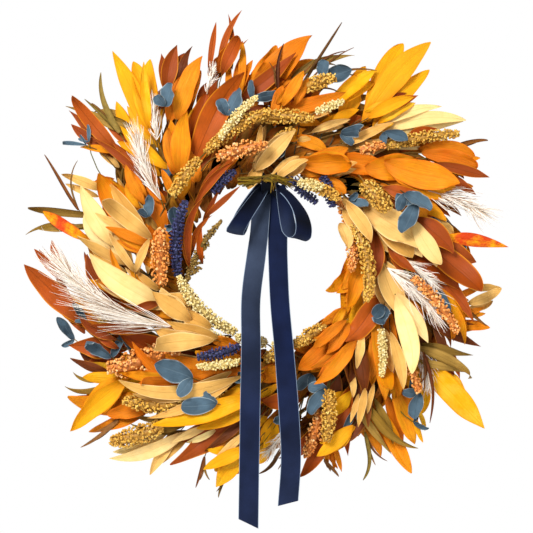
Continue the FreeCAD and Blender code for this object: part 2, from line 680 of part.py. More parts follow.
# Where each tail lies across at its top, fold and tip, how far its top is tucked behind the other, its drop
# below the fold, and the rise of its cut end from left to right.
Tail = namedtuple("Tail", "side top fold tip tucked drop cut_rise")
TAILS = (
    Tail("left", -15.0, -20.0, -29.0, 0.0, sheet.left_tail_drop, 6.0),
    Tail("right", -3.0, 3.0, 14.0, 2.5, sheet.right_tail_drop, -5.0),
)
TAIL_TOP = 71.0
TAIL_BEHIND_BOW = 4.0
TAIL_LEAN_OUT = 4.0
FOLD_GAP = 2.0


def tails():
    """Each tail's upper run is held behind the loops, and its lower run hangs from a fold under them."""
    fold, height = sheet.tail_hinge_above_centre, sheet.bow_height - TAIL_BEHIND_BOW
    made = []
    for tail in TAILS:
        tucked = height - tail.tucked
        top = from_centre(tail.top, TAIL_TOP, tucked)
        end = from_centre(tail.fold, fold + FOLD_GAP, tucked)
        made.append(ribbon_run(f"{tail.side}_tail_upper", top, end))
        start = from_centre(tail.fold, fold, height)
        tip = from_centre(tail.tip, fold - tail.drop, height + TAIL_LEAN_OUT)
        made.append(ribbon_run(f"{tail.side}_tail", start, tip, tail.cut_rise))
    return made


TIE_WIRE_GAP = 1.0
TIE_WIRE_CORNER = 2.2
TIE_WIRE_UP = 79.0
TIE_WIRE_INTO_KNOT = 3.0
TIE_WIRE_END_HEIGHT = 4.0


def tie_wire():
    """From the knot straight back, then out behind the inner ring and forward again outside it."""
    clear = sheet.ring_wire_radius + sheet.tie_wire_radius + TIE_WIRE_GAP
    outside_ring = sheet.inner_ring_radius + clear
    route = (
        (TIE_WIRE_UP, sheet.bow_height + TIE_WIRE_INTO_KNOT),
        (TIE_WIRE_UP, -clear),
        (outside_ring, -clear),
        (outside_ring, TIE_WIRE_END_HEIGHT),
    )
    points = [from_centre(-sheet.knot_left, up, height) for up, height in route]
    return free_form("bow_tie_wire", round_wire(points, TIE_WIRE_CORNER, sheet.tie_wire_radius))


# ---------------------------------------------------------------- build, check and write


def main():
    nodes = wire_form() + [stem_bundles(), binding_wire(), hanger()]
    nodes += foliage()
    nodes += [knot(), tie_wire()] + bow_loops() + tails()
    doc.recompute()
    for feature in doc.Objects:
        if "Invalid" in feature.State or "Error" in feature.State:
            raise RuntimeError(f"{feature.Label} did not compute: {feature.State}")
    os.makedirs("parts", exist_ok=True)
    for node in nodes:
        shape = node.Shape
        if shape.isNull() or not shape.isValid() or not shape.Solids:
            raise RuntimeError(f"{node.Label} has no valid solid")
        if any(solid.Volume <= 0 for solid in shape.Solids):
            raise RuntimeError(f"{node.Label} has a solid that is inside out")
        shape.exportStep(f"parts/{node.Label}.step")
    print(len(nodes), "nodes,", sum(len(node.Shape.Solids) for node in nodes), "solids")


main()
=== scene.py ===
"""Looks of the harvest door wreath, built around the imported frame. Lengths are in metres.

Every foliage node of the frame is a group of separate plain solids. This script reads each solid's middle
line and half-width, and grows a detailed leaf, seed head or plume along it, with a few companions behind.
"""

import math
import random
from collections import namedtuple

import bpy
import numpy as np
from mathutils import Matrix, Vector


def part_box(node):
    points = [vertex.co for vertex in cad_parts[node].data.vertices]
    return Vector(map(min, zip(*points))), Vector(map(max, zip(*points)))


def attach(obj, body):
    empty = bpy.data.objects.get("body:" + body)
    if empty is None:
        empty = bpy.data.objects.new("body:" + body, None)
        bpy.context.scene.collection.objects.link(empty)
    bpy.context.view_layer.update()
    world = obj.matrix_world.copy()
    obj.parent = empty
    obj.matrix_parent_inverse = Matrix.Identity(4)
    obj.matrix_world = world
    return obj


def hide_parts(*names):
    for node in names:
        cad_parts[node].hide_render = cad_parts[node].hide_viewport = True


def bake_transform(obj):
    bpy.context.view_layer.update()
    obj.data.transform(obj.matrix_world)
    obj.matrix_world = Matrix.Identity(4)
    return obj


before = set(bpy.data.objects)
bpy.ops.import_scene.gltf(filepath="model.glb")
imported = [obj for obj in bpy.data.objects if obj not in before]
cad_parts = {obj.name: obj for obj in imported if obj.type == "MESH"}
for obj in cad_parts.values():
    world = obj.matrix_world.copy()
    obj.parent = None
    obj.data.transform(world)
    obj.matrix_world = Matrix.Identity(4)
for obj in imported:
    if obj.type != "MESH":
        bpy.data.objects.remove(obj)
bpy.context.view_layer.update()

MM = 0.001
FORWARD = np.array([0.0, -1.0, 0.0])
ring_low, ring_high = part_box("outer_back_ring")
CENTRE = np.array((ring_low + ring_high) / 2)
THIRDS = ("top", "right", "left")


# ---------------------------------------------------------------- camera, light and floor

CAMERA_DISTANCE = 2.3
FRAME_WIDTH = 0.5863
SENSOR = 36.0
AIM_ACROSS, AIM_UP, AIM_DEPTH = -0.0094, -0.0039, -0.040

AMBIENT = 0.42
FLOOR_RADIUS = 4.5
FLOOR_HEIGHT = -1.25

# name, place, size and power in watts
LIGHTS = (
    ("key", (-1.0, -2.2, 1.1), 0.9, 86.0),
    ("fill", (1.6, -2.0, 0.0), 1.8, 16.0),
    ("rear", (0.9, 2.0, 1.4), 0.8, 20.0),
)


def add_object(name, data):
    made = bpy.data.objects.new(name, data)
    bpy.context.scene.collection.objects.link(made)
    return made


def add_camera():
    data = bpy.data.cameras.new("camera")
    data.sensor_width = SENSOR
    data.lens = SENSOR * CAMERA_DISTANCE / FRAME_WIDTH
    camera = add_object("camera", data)
    camera.location = (AIM_ACROSS, AIM_DEPTH - CAMERA_DISTANCE, CENTRE[2] + AIM_UP)
    camera.rotation_euler = (math.pi / 2, 0, 0)
    bpy.context.scene.camera = camera


def add_area_light(name, place, size, power):
    data = bpy.data.lights.new(name, "AREA")
    data.size = size
    data.energy = power
    lamp = add_object(name, data)
    lamp.location = place
    aim = Vector((0, 0, CENTRE[2])) - Vector(place)
    lamp.rotation_euler = aim.to_track_quat("-Z", "Y").to_euler()


def add_world():
    world = bpy.data.worlds.new("studio")
    bpy.context.scene.world = world
    world.use_nodes = True
    tree = world.node_tree
    tree.nodes.clear()
    output = tree.nodes.new("ShaderNodeOutputWorld")
    seen = tree.nodes.new("ShaderNodeBackground")
    ambient = tree.nodes.new("ShaderNodeBackground")
    for background in (seen, ambient):
        background.inputs["Color"].default_value = (1, 1, 1, 1)
    ambient.inputs["Strength"].default_value = AMBIENT
    rays = tree.nodes.new("ShaderNodeLightPath")
    mix = tree.nodes.new("ShaderNodeMixShader")
    tree.links.new(rays.outputs["Is Camera Ray"], mix.inputs[0])
    tree.links.new(ambient.outputs[0], mix.inputs[1])
    tree.links.new(seen.outputs[0], mix.inputs[2])
    tree.links.new(mix.outputs[0], output.inputs[0])


def add_floor():
    place = (0, 0, FLOOR_HEIGHT)
    bpy.ops.mesh.primitive_circle_add(vertices=96, radius=FLOOR_RADIUS, fill_type="NGON", location=place)
    floor = bpy.context.object
    floor.name = "floor"
    paint = Shader("floor_paint")
    paint.set(Base_Color=linear("#F2F0EC"), Roughness=0.8)
    floor.data.materials.append(paint.material)


# ---------------------------------------------------------------- colours and node materials


def linear(code):
    """An sRGB colour code as linear red, green, blue and alpha."""
    channels = [int(code[i : i + 2], 16) / 255 for i in (1, 3, 5)]
    return [c / 12.92 if c <= 0.04045 else ((c + 0.055) / 1.055) ** 2.4 for c in channels] + [1.0]


class Shader:
    """A small writer for node materials. The mark attribute holds (along, across, own number)."""

    def __init__(self, name):
        self.material = bpy.data.materials.new(name)
        self.material.use_nodes = True
        self.tree = self.material.node_tree
        self.surface = self.tree.nodes["Principled BSDF"]

    def node(self, kind, inputs=None, **settings):
        made = self.tree.nodes.new(kind)
        for name, value in settings.items():
            setattr(made, name, value)
        for key, value in (inputs or {}).items():
            self.put(made.inputs[key], value)
        return made

    def put(self, socket, value):
        if isinstance(value, bpy.types.NodeSocket):
            self.tree.links.new(value, socket)
        else:
            socket.default_value = value

    def set(self, **values):
        """Inputs of the surface, with an underscore for each space in a name."""
        for name, value in values.items():
            self.put(self.surface.inputs[name.replace("_", " ")], value)

    def mark(self):
        """Sockets for the place along, the place across (-1 to 1) and the piece's own number (0 to 1)."""
        vector = self.node("ShaderNodeAttribute", attribute_name="mark").outputs["Vector"]
        parts = self.node("ShaderNodeSeparateXYZ", {0: vector}).outputs
        return parts[0], parts[1], parts[2]

    def math(self, operation, one, two=0.0):
        return self.node("ShaderNodeMath", {0: one, 1: two}, operation=operation).outputs[0]

    def times(self, one, two):
        return self.math("MULTIPLY", one, two)

    def plus(self, one, two):
        return self.math("ADD", one, two)

    def mix(self, share, one, two, blend="MIX"):
        made = self.node("ShaderNodeMix", data_type="RGBA", blend_type=blend)
        for index, value in ((0, share), (6, one), (7, two)):
            self.put(made.inputs[index], value)
        return made.outputs[2]

    def ramp(self, value, stops):
        """A colour ramp with (position, colour) stops; a number stands for a grey."""
        made = self.node("ShaderNodeValToRGB", {0: value})
        elements = made.color_ramp.elements
        while len(elements) < len(stops):
            elements.new(0.5)
        for element, (position, colour) in zip(elements, stops):
            element.position = position
            element.color = colour if isinstance(colour, (list, tuple)) else (colour, colour, colour, 1)
        return made.outputs[0]

    def tints(self, value, codes):
        """A colour ramp with the colours evenly apart."""
        return self.ramp(value, [(i / (len(codes) - 1), linear(code)) for i, code in enumerate(codes)])

    def noise(self, vector, scale, detail, rough=0.55):
        inputs = {"Vector": vector, "Scale": scale, "Detail": detail, "Roughness": rough}
        return self.node("ShaderNodeTexNoise", inputs).outputs[0]

    def place(self):
        return self.node("ShaderNodeTexCoord").outputs["Object"]

    def bump(self, value, distance):
        made = self.node("ShaderNodeBump", {"Strength": 1.0, "Distance": distance, "Height": value})
        self.set(Normal=made.outputs[0])

    def worn(self, colour, scale, detail, light, depth):
        """The colour times a fine noise between light[0] and light[1], with a bump to match."""
        grain = self.noise(self.place(), scale, detail)
        self.bump(grain, depth)
        return self.mix(1.0, colour, self.ramp(grain, [(0.3, light[0]), (0.7, light[1])]), "MULTIPLY")


# tints: a leaf's own colour is one between these. base, rim, vein, blotch: colours of those places, with the
# strength of the last two. fibres: how fine they are. side_veins: their strength.
LeafPaint = namedtuple(
    "LeafPaint",
    "tints base rim vein vein_share fibres fibre_share blotch blotch_share side_veins rough sheen",
    defaults=[0.0],
)

# How much more saturated the finished leaf colour is than its mix of codes.
RICHER = 1.06


def leaf_material(name, paint):
    """Tint by leaf, darker base, worn rim, midrib, side veins, long fibres and soft blotches."""
    shader = Shader(name)
    along, across, own = shader.mark()
    colour = shader.tints(own, paint.tints)

    scaled = enumerate(((along, 2.2), (across, paint.fibres), (own, 37.0)))
    stretched = {i: shader.times(value, scale) for i, (value, scale) in scaled}
    fibre = shader.noise(shader.node("ShaderNodeCombineXYZ", stretched).outputs[0], 2.0, detail=2.5)
    fibre_light = shader.ramp(fibre, [(0.30, 1 - paint.fibre_share), (0.70, 1.0)])
    colour = shader.mix(1.0, colour, fibre_light, "MULTIPLY")

    patches = shader.noise(shader.place(), 55.0, detail=4.0, rough=0.6)
    patch_share = shader.ramp(patches, [(0.42, 0.0), (0.68, paint.blotch_share)])
    colour = shader.mix(patch_share, colour, linear(paint.blotch))

    from_middle = shader.math("ABSOLUTE", across)
    waist = shader.ramp(along, [(0.0, 1.0), (0.28, 0.0)])
    colour = shader.mix(shader.times(waist, 0.75), colour, linear(paint.base))
    rim = shader.ramp(from_middle, [(0.86, 0.0), (0.99, 0.85)])
    colour = shader.mix(rim, colour, linear(paint.rim))
    rib = shader.ramp(from_middle, [(0.015, 1.0), (0.075, 0.0)])
    colour = shader.mix(shader.times(rib, paint.vein_share), colour, linear(paint.vein))

    lean = shader.plus(shader.times(along, 13.0), shader.times(from_middle, -3.0))
    comb = shader.math("ABSOLUTE", shader.math("SINE", shader.times(lean, math.pi)))
    side_share = shader.times(shader.ramp(comb, [(0.0, 1.0), (0.16, 0.0)]), paint.side_veins)
    colour = shader.mix(side_share, colour, linear(paint.vein))
    richer = shader.node("ShaderNodeHueSaturation", {"Saturation": RICHER, "Color": colour})

    grain = shader.noise(shader.place(), 900.0, detail=2.0)
    height = shader.plus(shader.times(fibre, 0.9), shader.times(grain, 0.25))
    height = shader.plus(height, shader.times(rib, -0.5))
    height = shader.plus(height, shader.times(side_share, -0.6))
    shader.bump(height, 0.5 * MM)
    rough = shader.ramp(patches, [(0.3, paint.rough - 0.08), (0.7, paint.rough + 0.08)])
    shader.set(Base_Color=richer.outputs[0], Roughness=rough, Specular_IOR_Level=0.22)
    shader.set(Sheen_Weight=paint.sheen)
    return shader.material


def seed_material(name, tints, shade):
    """Tint by grain, with painted shade where a grain meets the stalk and, at about half strength, on the
    stalk itself.
    """
    shader = Shader(name)
    _, across, own = shader.mark()
    # Painted shade: the shade colour is mixed in where the across mark is low, at a grain's inner end and on
    # the stalk.
    crevice_shade = shader.ramp(across, [(0.20, 0.80), (0.62, 0.0)])
    colour = shader.mix(crevice_shade, shader.tints(own, tints), linear(shade))
    shader.set(Base_Color=shader.worn(colour, 1400.0, 2.0, (0.78, 1.08), 0.15 * MM), Roughness=0.55)
    return shader.material


def strand_material(name, tints, rough=0.7, light=(0.66, 1.05)):
    """Thin stems, blades and hairs: tint by strand, with a little unevenness along it."""
    shader = Shader(name)
    colour = shader.worn(shader.tints(shader.mark()[2], tints), 260.0, 4.0, light, 0.3 * MM)
    shader.set(Base_Color=colour, Roughness=rough, Specular_IOR_Level=0.2)
    return shader.material


def metal_material(name, code, rough, metallic):
    shader = Shader(name)
    colour = shader.worn(linear(code), 320.0, 5.0, (0.72, 1.1), 0.1 * MM)
    shader.set(Base_Color=colour, Roughness=rough, Metallic=metallic)
    return shader.material


def velvet_material(name, edge_code):
    """Brushed pile: black, navy and grey-blue as the mark's third value rises. That value is painted light:
    black for painted shade, grey-blue for painted sheen, with less sheen weight where it is dark. And a woven
    edge.
    """
    shader = Shader(name)
    # The third mark value is the painted light level along the ribbon: low for painted shade, high for
    # painted sheen.
    along, across, shade = shader.mark()
    brushed = shader.ramp(shader.noise(shader.place(), 26.0, detail=2.0), [(0.3, 0.0), (0.7, 1.0)])
    low, high = (
        shader.ramp(shade, [(at, linear(code)) for at, code in zip((0.0, 0.35, 1.0), codes)])
        for codes in (("#020409", "#081028", "#2D3648"), ("#060A14", "#121E42", "#3D485C"))
    )
    colour = shader.worn(shader.mix(brushed, low, high), 2600.0, 1.0, (0.72, 1.12), 0.25 * MM)
    edge = shader.ramp(shader.math("ABSOLUTE", across), [(0.94, 0.0), (0.97, 1.0)])
    clear_of_knot = shader.ramp(along, [(0.06, 0.0), (0.12, 1.0)])
    colour = shader.mix(shader.times(edge, clear_of_knot), colour, linear(edge_code))
    sheen = shader.ramp(shade, [(0.0, 0.04), (0.35, 0.25)])
    shader.set(Base_Color=colour, Roughness=0.9, Specular_IOR_Level=0.12)
    shader.set(Sheen_Weight=sheen, Sheen_Roughness=0.4, Sheen_Tint=linear("#6A7CA4"))
    return shader.material


# ---------------------------------------------------------------- meshes


SHARP_EDGE = math.radians(50)


class Mesh:
    """Gathers parts of one piece: points, faces and a mark for each point."""

    def __init__(self):
        self.points, self.marks, self.faces, self.count = [], [], [], 0

    def add(self, points, marks, faces):
        self.points.append(points)
        self.marks.append(marks)
        self.faces.extend((np.asarray(faces) + self.count).tolist())
        self.count += len(points)

    def make(self, name, material):
        data = bpy.data.meshes.new(name)
        data.from_pydata(np.concatenate(self.points).tolist(), [], self.faces)
        marks = data.attributes.new("mark", "FLOAT_VECTOR", "POINT")
        marks.data.foreach_set("vector", np.concatenate(self.marks).astype(np.float32).ravel())
        data.polygons.foreach_set("use_smooth", [True] * len(data.polygons))
        data.set_sharp_from_angle(angle=SHARP_EDGE)
        data.materials.append(material)
        data.update()
        return add_object(name, data)


def marks_of(shape, along, across, own):
    """A mark for each point of a grid of that shape."""
    marks = np.empty((*shape, 3))
    for index, value in enumerate((along, across, own)):
        marks[..., index] = value
    return marks


def unit(vectors):
    return vectors / np.maximum(np.linalg.norm(vectors, axis=-1, keepdims=True), 1e-12)


def grid_faces(rows, columns, start=0, flip=False):
    """Quads of a grid of points, row after row."""
    corner = (start + np.arange(rows - 1)[:, None] * columns + np.arange(columns - 1)[None, :]).ravel()
    quads = np.stack([corner, corner + 1, corner + columns + 1, corner + columns], axis=1)
    return quads[:, ::-1] if flip else quads


def rim_faces(rows, columns):
    """Quads that join the edges of two equal grids, the second stored after the first."""
    edge = [r * columns for r in range(rows)]
    edge += [(rows - 1) * columns + c for c in range(1, columns)]
    edge += [r * columns + columns - 1 for r in range(rows - 2, -1, -1)]
    edge += list(range(columns - 2, 0, -1))
    after = edge[1:] + edge[:1]
    under = rows * columns
    return [[a, b, b + under, a + under] for a, b in zip(edge, after)]


def add_sheet(mesh, front, back, marks):
    """A closed thin sheet from two grids of points, of shape (rows, columns, 3)."""
    rows, columns = front.shape[:2]
    points = np.concatenate([front.reshape(-1, 3), back.reshape(-1, 3)])
    both = np.concatenate([marks.reshape(-1, 3)] * 2)
    faces = [
        grid_faces(rows, columns),
        grid_faces(rows, columns, start=rows * columns, flip=True),
        np.array(rim_faces(rows, columns))[:, ::-1],
    ]
    mesh.add(points, both, np.concatenate(faces))


def smooth_line(points, shares):
    """A cubic fitted through a middle line, at the given shares of its length."""
    at = np.linspace(0, 1, len(points))
    degree = min(3, len(points) - 1)
    return np.stack([np.polyval(np.polyfit(at, points[:, i], degree), shares) for i in range(3)], axis=1)


def side_and_face(middle):
    """Unit vectors across a line and out of its face, which looks forward."""
    run = unit(np.gradient(middle, axis=0))
    side = unit(np.cross(run, FORWARD))
    return side, np.cross(side, run)


# The plan grid of the foliage's cover: the side of a cell, cells to a side, and the value of an empty cell.
CELL = 1.5 * MM
CELLS = 440
NOTHING = -1.0

# The gap left behind whatever is in front, and how far back anything may be sent: just clear of the door, and
# in front of the binding wire where that runs.
CLEARANCE = 0.5 * MM
BACK_LIMIT = -6 * MM
BINDING_FRONT = -28.8 * MM
BINDING_MIDDLE = 130 * MM
BINDING_REACH = 27 * MM

# Where on the ring the first sprig is laid, clockwise from the top.
SEAM = math.radians(183)

# A leaf moved back in one place is moved back round it too, by this share of its neighbour's move.
SOFTENING = 0.75
SOFTENING_PASSES = 6


def turn_from_seam(point):
    return (spiral_place(point)[0] - SEAM) % (2 * math.pi)


def cells(points):
    """The plan cell of each point, as two index arrays."""
    x = (points[:, 0] - CENTRE[0]) / CELL + CELLS / 2
    z = (points[:, 2] - CENTRE[2]) / CELL + CELLS / 2
    return np.clip(x.astype(int), 0, CELLS - 1), np.clip(z.astype(int), 0, CELLS - 1)


def finer(grid):
    """A grid of points with four times as many columns and rows, filled in evenly."""
    for axis, shape in ((1, (1, -1, 1)), (0, (-1, 1, 1))):
        size = grid.shape[axis]
        at = np.linspace(0, size - 1, 4 * size)
        low = at.astype(int)
        share = (at - low).reshape(shape)
        after = np.take(grid, np.minimum(low + 1, size - 1), axis)
        grid = np.take(grid, low, axis) * (1 - share) + after * share
    return grid


class Cover:
    """How far back the foliage drawn so far reaches over each plan cell. It is drawn from front to back, one
    turn along the swirl from the seam, and whatever comes later is moved back behind it. The last third of
    the turn lies over the first third, so it doesn't look at it."""

    def __init__(self):
        self.first = np.full((CELLS, CELLS), NOTHING)
        self.rest = np.full((CELLS, CELLS), NOTHING)
        self.third = 0
        self.spare = 0.0

    def limit(self, points):
        """The furthest forward each point may lie. Nothing is sent back through the binding wire."""
        at = cells(points)
        back = self.rest[at] if self.third == 2 else np.maximum(self.first[at], self.rest[at])
        out = np.hypot(points[:, 0] - CENTRE[0], points[:, 2] - CENTRE[2])
        bound = np.abs(out - BINDING_MIDDLE) < BINDING_REACH
        return np.minimum(back + CLEARANCE, np.where(bound, BINDING_FRONT - self.spare, BACK_LIMIT))

    def count(self, points):
        np.maximum.at(self.first if self.third == 0 else self.rest, cells(points), points[:, 1])

    def tuck(self, points, radius=0.0):
        """Points moved back, by their own radius too, behind what is in front of them."""
        moved = points.copy()
        moved[:, 1] = np.maximum(moved[:, 1], self.limit(points) + radius)
        return moved

    def tuck_sheet(self, top):
        """A leaf's grid of points moved back, with soft edges, and then counted."""
        limit = self.limit(top.reshape(-1, 3)).reshape(top.shape[:2])
        push = np.maximum(limit - top[..., 1], 0)
        for _ in range(SOFTENING_PASSES):
            near = push * SOFTENING
            push[1:] = np.maximum(push[1:], near[:-1])
            push[:-1] = np.maximum(push[:-1], near[1:])
            push[:, 1:] = np.maximum(push[:, 1:], near[:, :-1])
            push[:, :-1] = np.maximum(push[:, :-1], near[:, 1:])
        top = top.copy()
        top[..., 1] += push
        self.count(finer(top).reshape(-1, 3))
        return top

    def count_strip(self, line, half):
        """Count a round sprig by its middle."""
        middle = smooth_line(line, np.linspace(0, 1, 60))
        side, _ = side_and_face(middle)
        for share in np.linspace(-0.8, 0.8, 13):
            self.count(middle + side * half * share)


# base, tip: how fast the outline widens from the base and narrows to the tip. cup, fold, ripple, ridges: the
# cross-section. curl, hook: how far the tip turns forward and sideways, in radians. twist: about its length.
LeafShape = namedtuple("LeafShape", "base tip cup fold ripple ridges ridge_depth curl hook twist")

# The share of leaves whose tip rolls right over, and how much more those curl.
ROLLED_SHARE = 0.12
ROLLED_CURL = 4.0


def bent(line, u, curl, hook):
    """A middle line whose end turns out of its face by curl and sideways by hook, with its side and face."""
    middle = smooth_line(line, u)
    side, face = side_and_face(middle)
    run = unit(np.gradient(middle, axis=0))
    up = (curl * np.clip((u - 0.3) / 0.7, 0, 1) ** 1.4)[:, None]
    sideways = (hook * np.clip((u - 0.25) / 0.75, 0, 1) ** 1.3)[:, None]
    heading = (run * np.cos(up) + face * np.sin(up)) * np.cos(sideways) + side * np.sin(sideways)
    step = np.linalg.norm(np.diff(middle, axis=0), axis=1)[:, None]
    moves = (heading[:-1] + heading[1:]) / 2 * step
    middle = np.concatenate([middle[:1], middle[0] + np.cumsum(moves, axis=0)])
    side = unit(side - heading * np.sum(side * heading, axis=1, keepdims=True))
    return middle, side, np.cross(side, heading)


def add_leaf(mesh, cover, line, half, shape, rng, along=22, across=8, thick=0.35 * MM, front=True):
    """One leaf along a middle line, with its own cup, fold, ripples, ribs, curl and twist. The tip of a front
    leaf turns forward, and that of a leaf behind others turns back, clear of them."""
    u, v = np.linspace(0, 1, along + 1), np.linspace(-1, 1, across + 1)
    curl = shape.curl * (rng.uniform(0.0, 1.3) if front else rng.uniform(-0.8, 0.0))
    if front and rng.random() < ROLLED_SHARE:
        curl = shape.curl * ROLLED_CURL * rng.uniform(0.6, 1.0)
    middle, side, face = bent(line, u, curl, shape.hook * rng.uniform(-1.2, 1.2))
    turn = shape.twist * rng.uniform(-1, 1) * u + rng.uniform(-0.25, 0.25)
    side, face = (
        side * np.cos(turn)[:, None] + face * np.sin(turn)[:, None],
        face * np.cos(turn)[:, None] - side * np.sin(turn)[:, None],
    )
    base, tip = shape.base * rng.uniform(0.88, 1.15), shape.tip * rng.uniform(0.85, 1.2)
    spread = (u + 0.012) ** base * (1.006 - u) ** tip
    spread = spread / spread.max()
    spread *= 1 + 0.04 * np.sin(u * rng.uniform(7, 13) + rng.uniform(0, 6))
    reach = half * spread
    cup = shape.cup * rng.uniform(0.3, 1.3) * rng.choice((1, 1, 1, -1))
    fold = shape.fold * rng.uniform(0.4, 1.3)
    wave, phase = rng.uniform(1.5, 3.2), rng.uniform(0, 6.28)
    edge = np.abs(v)[None, :] ** 2
    lift = reach[:, None] * (cup * edge + fold * np.abs(v)[None, :])
    ripples = half * shape.ripple * np.sin(2 * math.pi * wave * u + phase)[:, None]
    lift = lift + ripples * edge * np.sign(v)[None, :]
    ribs = np.cos(math.pi * shape.ridges * v)[None, :] * spread[:, None]
    lift = lift + shape.ridge_depth * ribs
    top = middle[:, None, :] + side[:, None, :] * (reach[:, None] * v[None, :])[..., None]
    top = cover.tuck_sheet(top + face[:, None, :] * lift[..., None])
    marks = marks_of(top.shape[:2], u[:, None], v[None, :], rng.random())
    add_sheet(mesh, top, top - face[:, None, :] * thick, marks)


def add_tube(mesh, points, radii, own, sides=5):
    """A thin closed tube along points, with a radius at each."""
    points, radii = np.asarray(points, float), np.asarray(radii, float)
    run = unit(np.gradient(points, axis=0))
    pick = np.where(np.abs(run[:, 1:2]) > 0.9, np.array([[1.0, 0, 0]]), np.array([[0, 1.0, 0]]))
    one = unit(np.cross(run, pick))
    two = np.cross(run, one)
    turn = np.linspace(0, 2 * math.pi, sides, endpoint=False)
    ring = one[:, None] * np.cos(turn)[None, :, None] + two[:, None] * np.sin(turn)[None, :, None]
    rows = len(points)
    body = (points[:, None] + ring * radii[:, None, None]).reshape(-1, 3)
    marks = marks_of((rows, sides), np.linspace(0, 1, rows)[:, None], 0.5, own)
    start = (np.arange(rows - 1)[:, None] * sides + np.arange(sides)[None, :]).ravel()
    after = (np.arange(rows - 1)[:, None] * sides + (np.arange(sides)[None, :] + 1) % sides).ravel()
    first = mesh.count
    mesh.add(body, marks.reshape(-1, 3), np.stack([start, start + sides, after + sides, after], axis=1))
    mesh.faces.append([first + i for i in range(sides)])
    mesh.faces.append([first + (rows - 1) * sides + i for i in reversed(range(sides))])


def round_grain():
    """A small closed ball of 12 points as (directions, faces)."""
    golden = (1 + math.sqrt(5)) / 2
    points = [(-1, golden, 0), (1, golden, 0), (-1, -golden, 0), (1, -golden, 0)]
    points = points + [(c, a, b) for a, b, c in points] + [(b, c, a) for a, b, c in points]
    points = unit(np.array(points, float))
    apart = np.linalg.norm(points[:, None] - points[None], axis=2)
    near = apart < 1.2
    faces = []
    for a in range(12):
        for b in range(a + 1, 12):
            for c in range(b + 1, 12):
                if near[a, b] and near[b, c] and near[a, c]:
                    outward = np.dot(np.cross(points[b] - points[a], points[c] - points[a]), points[a]) > 0
                    faces.append((a, b, c) if outward else (a, c, b))
    return points, np.array(faces)


BALL_POINTS, BALL_FACES = round_grain()

# pitch: how far apart the clusters are. grains: how many to a cluster. long, wide: the grain's size.
# spread: the cluster's radius. lean: how far a cluster points to the tip. jitter: unevenness of the outline.
# whorl: how far apart the rings of clusters are, or 0 for a spiral.
SeedShape = namedtuple("SeedShape", "pitch grains long wide spread lean jitter whorl", defaults=[0.0])

GOLDEN_ANGLE = 2.399963
CORE_POINTS = 14


def seed_belly(share):
    """The outline of a seed head from base (0) to tip (1)."""
    return 0.25 + 0.75 * math.sin(math.pi * min(max(share * 0.92 + 0.06, 0), 1)) ** 0.5


def add_seed_head(mesh, cover, line, half, shape, rng):
    """Clusters of grains in a spiral round a stalk."""
    length = np.linalg.norm(np.diff(line, axis=0), axis=1).sum()
    count = int(2 * math.pi * half * 0.75 * length / shape.pitch**2)
    core = cover.tuck(smooth_line(line, np.linspace(0, 1, CORE_POINTS)), radius=half)
    thick = [half * 0.55 * seed_belly(i / (CORE_POINTS - 1)) for i in range(CORE_POINTS)]
    add_tube(mesh, core, thick, 0.3, sides=8)
    # This across value gives the stalk about half of the painted shade.
    mesh.marks[-1][:, 1] = 0.35
    uneven = np.array([rng.gauss(0, 0.006) for _ in range(count)])
    shares = np.clip((np.arange(count) + 0.5) / count + uneven, 0, 1)
    if shape.whorl:
        steps = max(int(length / shape.whorl), 3)
        shares = np.clip((np.floor(shares * steps) + 0.5) / steps, 0.01, 0.99)
    middles = smooth_line(line, shares)
    run = unit(np.gradient(smooth_line(line, np.linspace(0, 1, 50)), axis=0))
    run = run[np.clip((shares * 49).astype(int), 0, 49)]
    side = unit(np.cross(run, FORWARD))
    face = np.cross(side, run)
    for i in range(count):
        turn = i * GOLDEN_ANGLE + rng.uniform(-0.3, 0.3)
        out = side[i] * math.cos(turn) + face[i] * math.sin(turn)
        lean = shape.lean + rng.uniform(-0.2, 0.2)
        axis = unit(out * math.cos(lean) + run[i] * math.sin(lean))
        reach = half * seed_belly(shares[i]) * (1 + shape.jitter * rng.uniform(-1.0, 0.8)) - shape.spread
        heart = middles[i] + out * max(reach, 0.2 * half)
        tint = rng.random()
        for _ in range(shape.grains):
            scatter = unit(np.array([rng.gauss(0, 1), rng.gauss(0, 1), rng.gauss(0, 1)]) + axis * 1.1)
            at = (heart + scatter * shape.spread * rng.uniform(0.55, 1.0))[None]
            at = cover.tuck(at, radius=shape.long / 2)[0]
            point = unit(scatter + axis)
            cross = unit(np.cross(point, run[i] + 0.013))
            size = rng.uniform(0.8, 1.2)
            base = np.stack([cross * shape.wide, np.cross(point, cross) * shape.wide, point * shape.long])
            own = 0.55 * tint + 0.45 * rng.random()
            # The across mark runs from a grain's inner end, low and in the painted shade, to its outer end.
            marks = marks_of((12,), shares[i], 0.55 + 0.45 * BALL_POINTS[:, 2], own)
            mesh.add(BALL_POINTS @ base * size / 2 + at, marks, BALL_FACES)
    cover.count_strip(line, half)


def add_plume(mesh, cover, line, half, rng, count):
    """Fine hairs that leave a stalk and sweep towards the tip."""
    length = np.linalg.norm(line[-1] - line[0])
    stalk = smooth_line(line, np.linspace(0, 0.9, 10))
    add_tube(mesh, stalk, np.linspace(0.9, 0.3, 10) * MM, 0.9)
    side, face = side_and_face(stalk)
    run = unit(np.gradient(stalk, axis=0))
    steps = np.linspace(0, 1, 7)
    for _ in range(count):
        start = rng.random() ** 0.9 * 0.9
        k = int(start * 9)
        away = side[k] * rng.gauss(0, 0.52) + face[k] * rng.gauss(0.1, 0.42)
        reach = length * rng.uniform(0.24, 0.46) * (1.2 - 0.6 * start)
        bend = side[k] * rng.gauss(0, 0.09) + face[k] * rng.gauss(0, 0.05)
        path = stalk[k] + np.outer(steps * reach, run[k])
        path = path + np.outer(np.sin(steps * 1.5) * half * 0.9, away) + np.outer(steps**2 * reach, bend)
        radii = np.linspace(rng.uniform(0.45, 0.80), 0.10, 7) * MM
        add_tube(mesh, cover.tuck(path), radii, rng.random(), sides=3)
    cover.count_strip(line, half * 0.3)


# ---------------------------------------------------------------- reading the frame's sprigs

STATIONS = 9


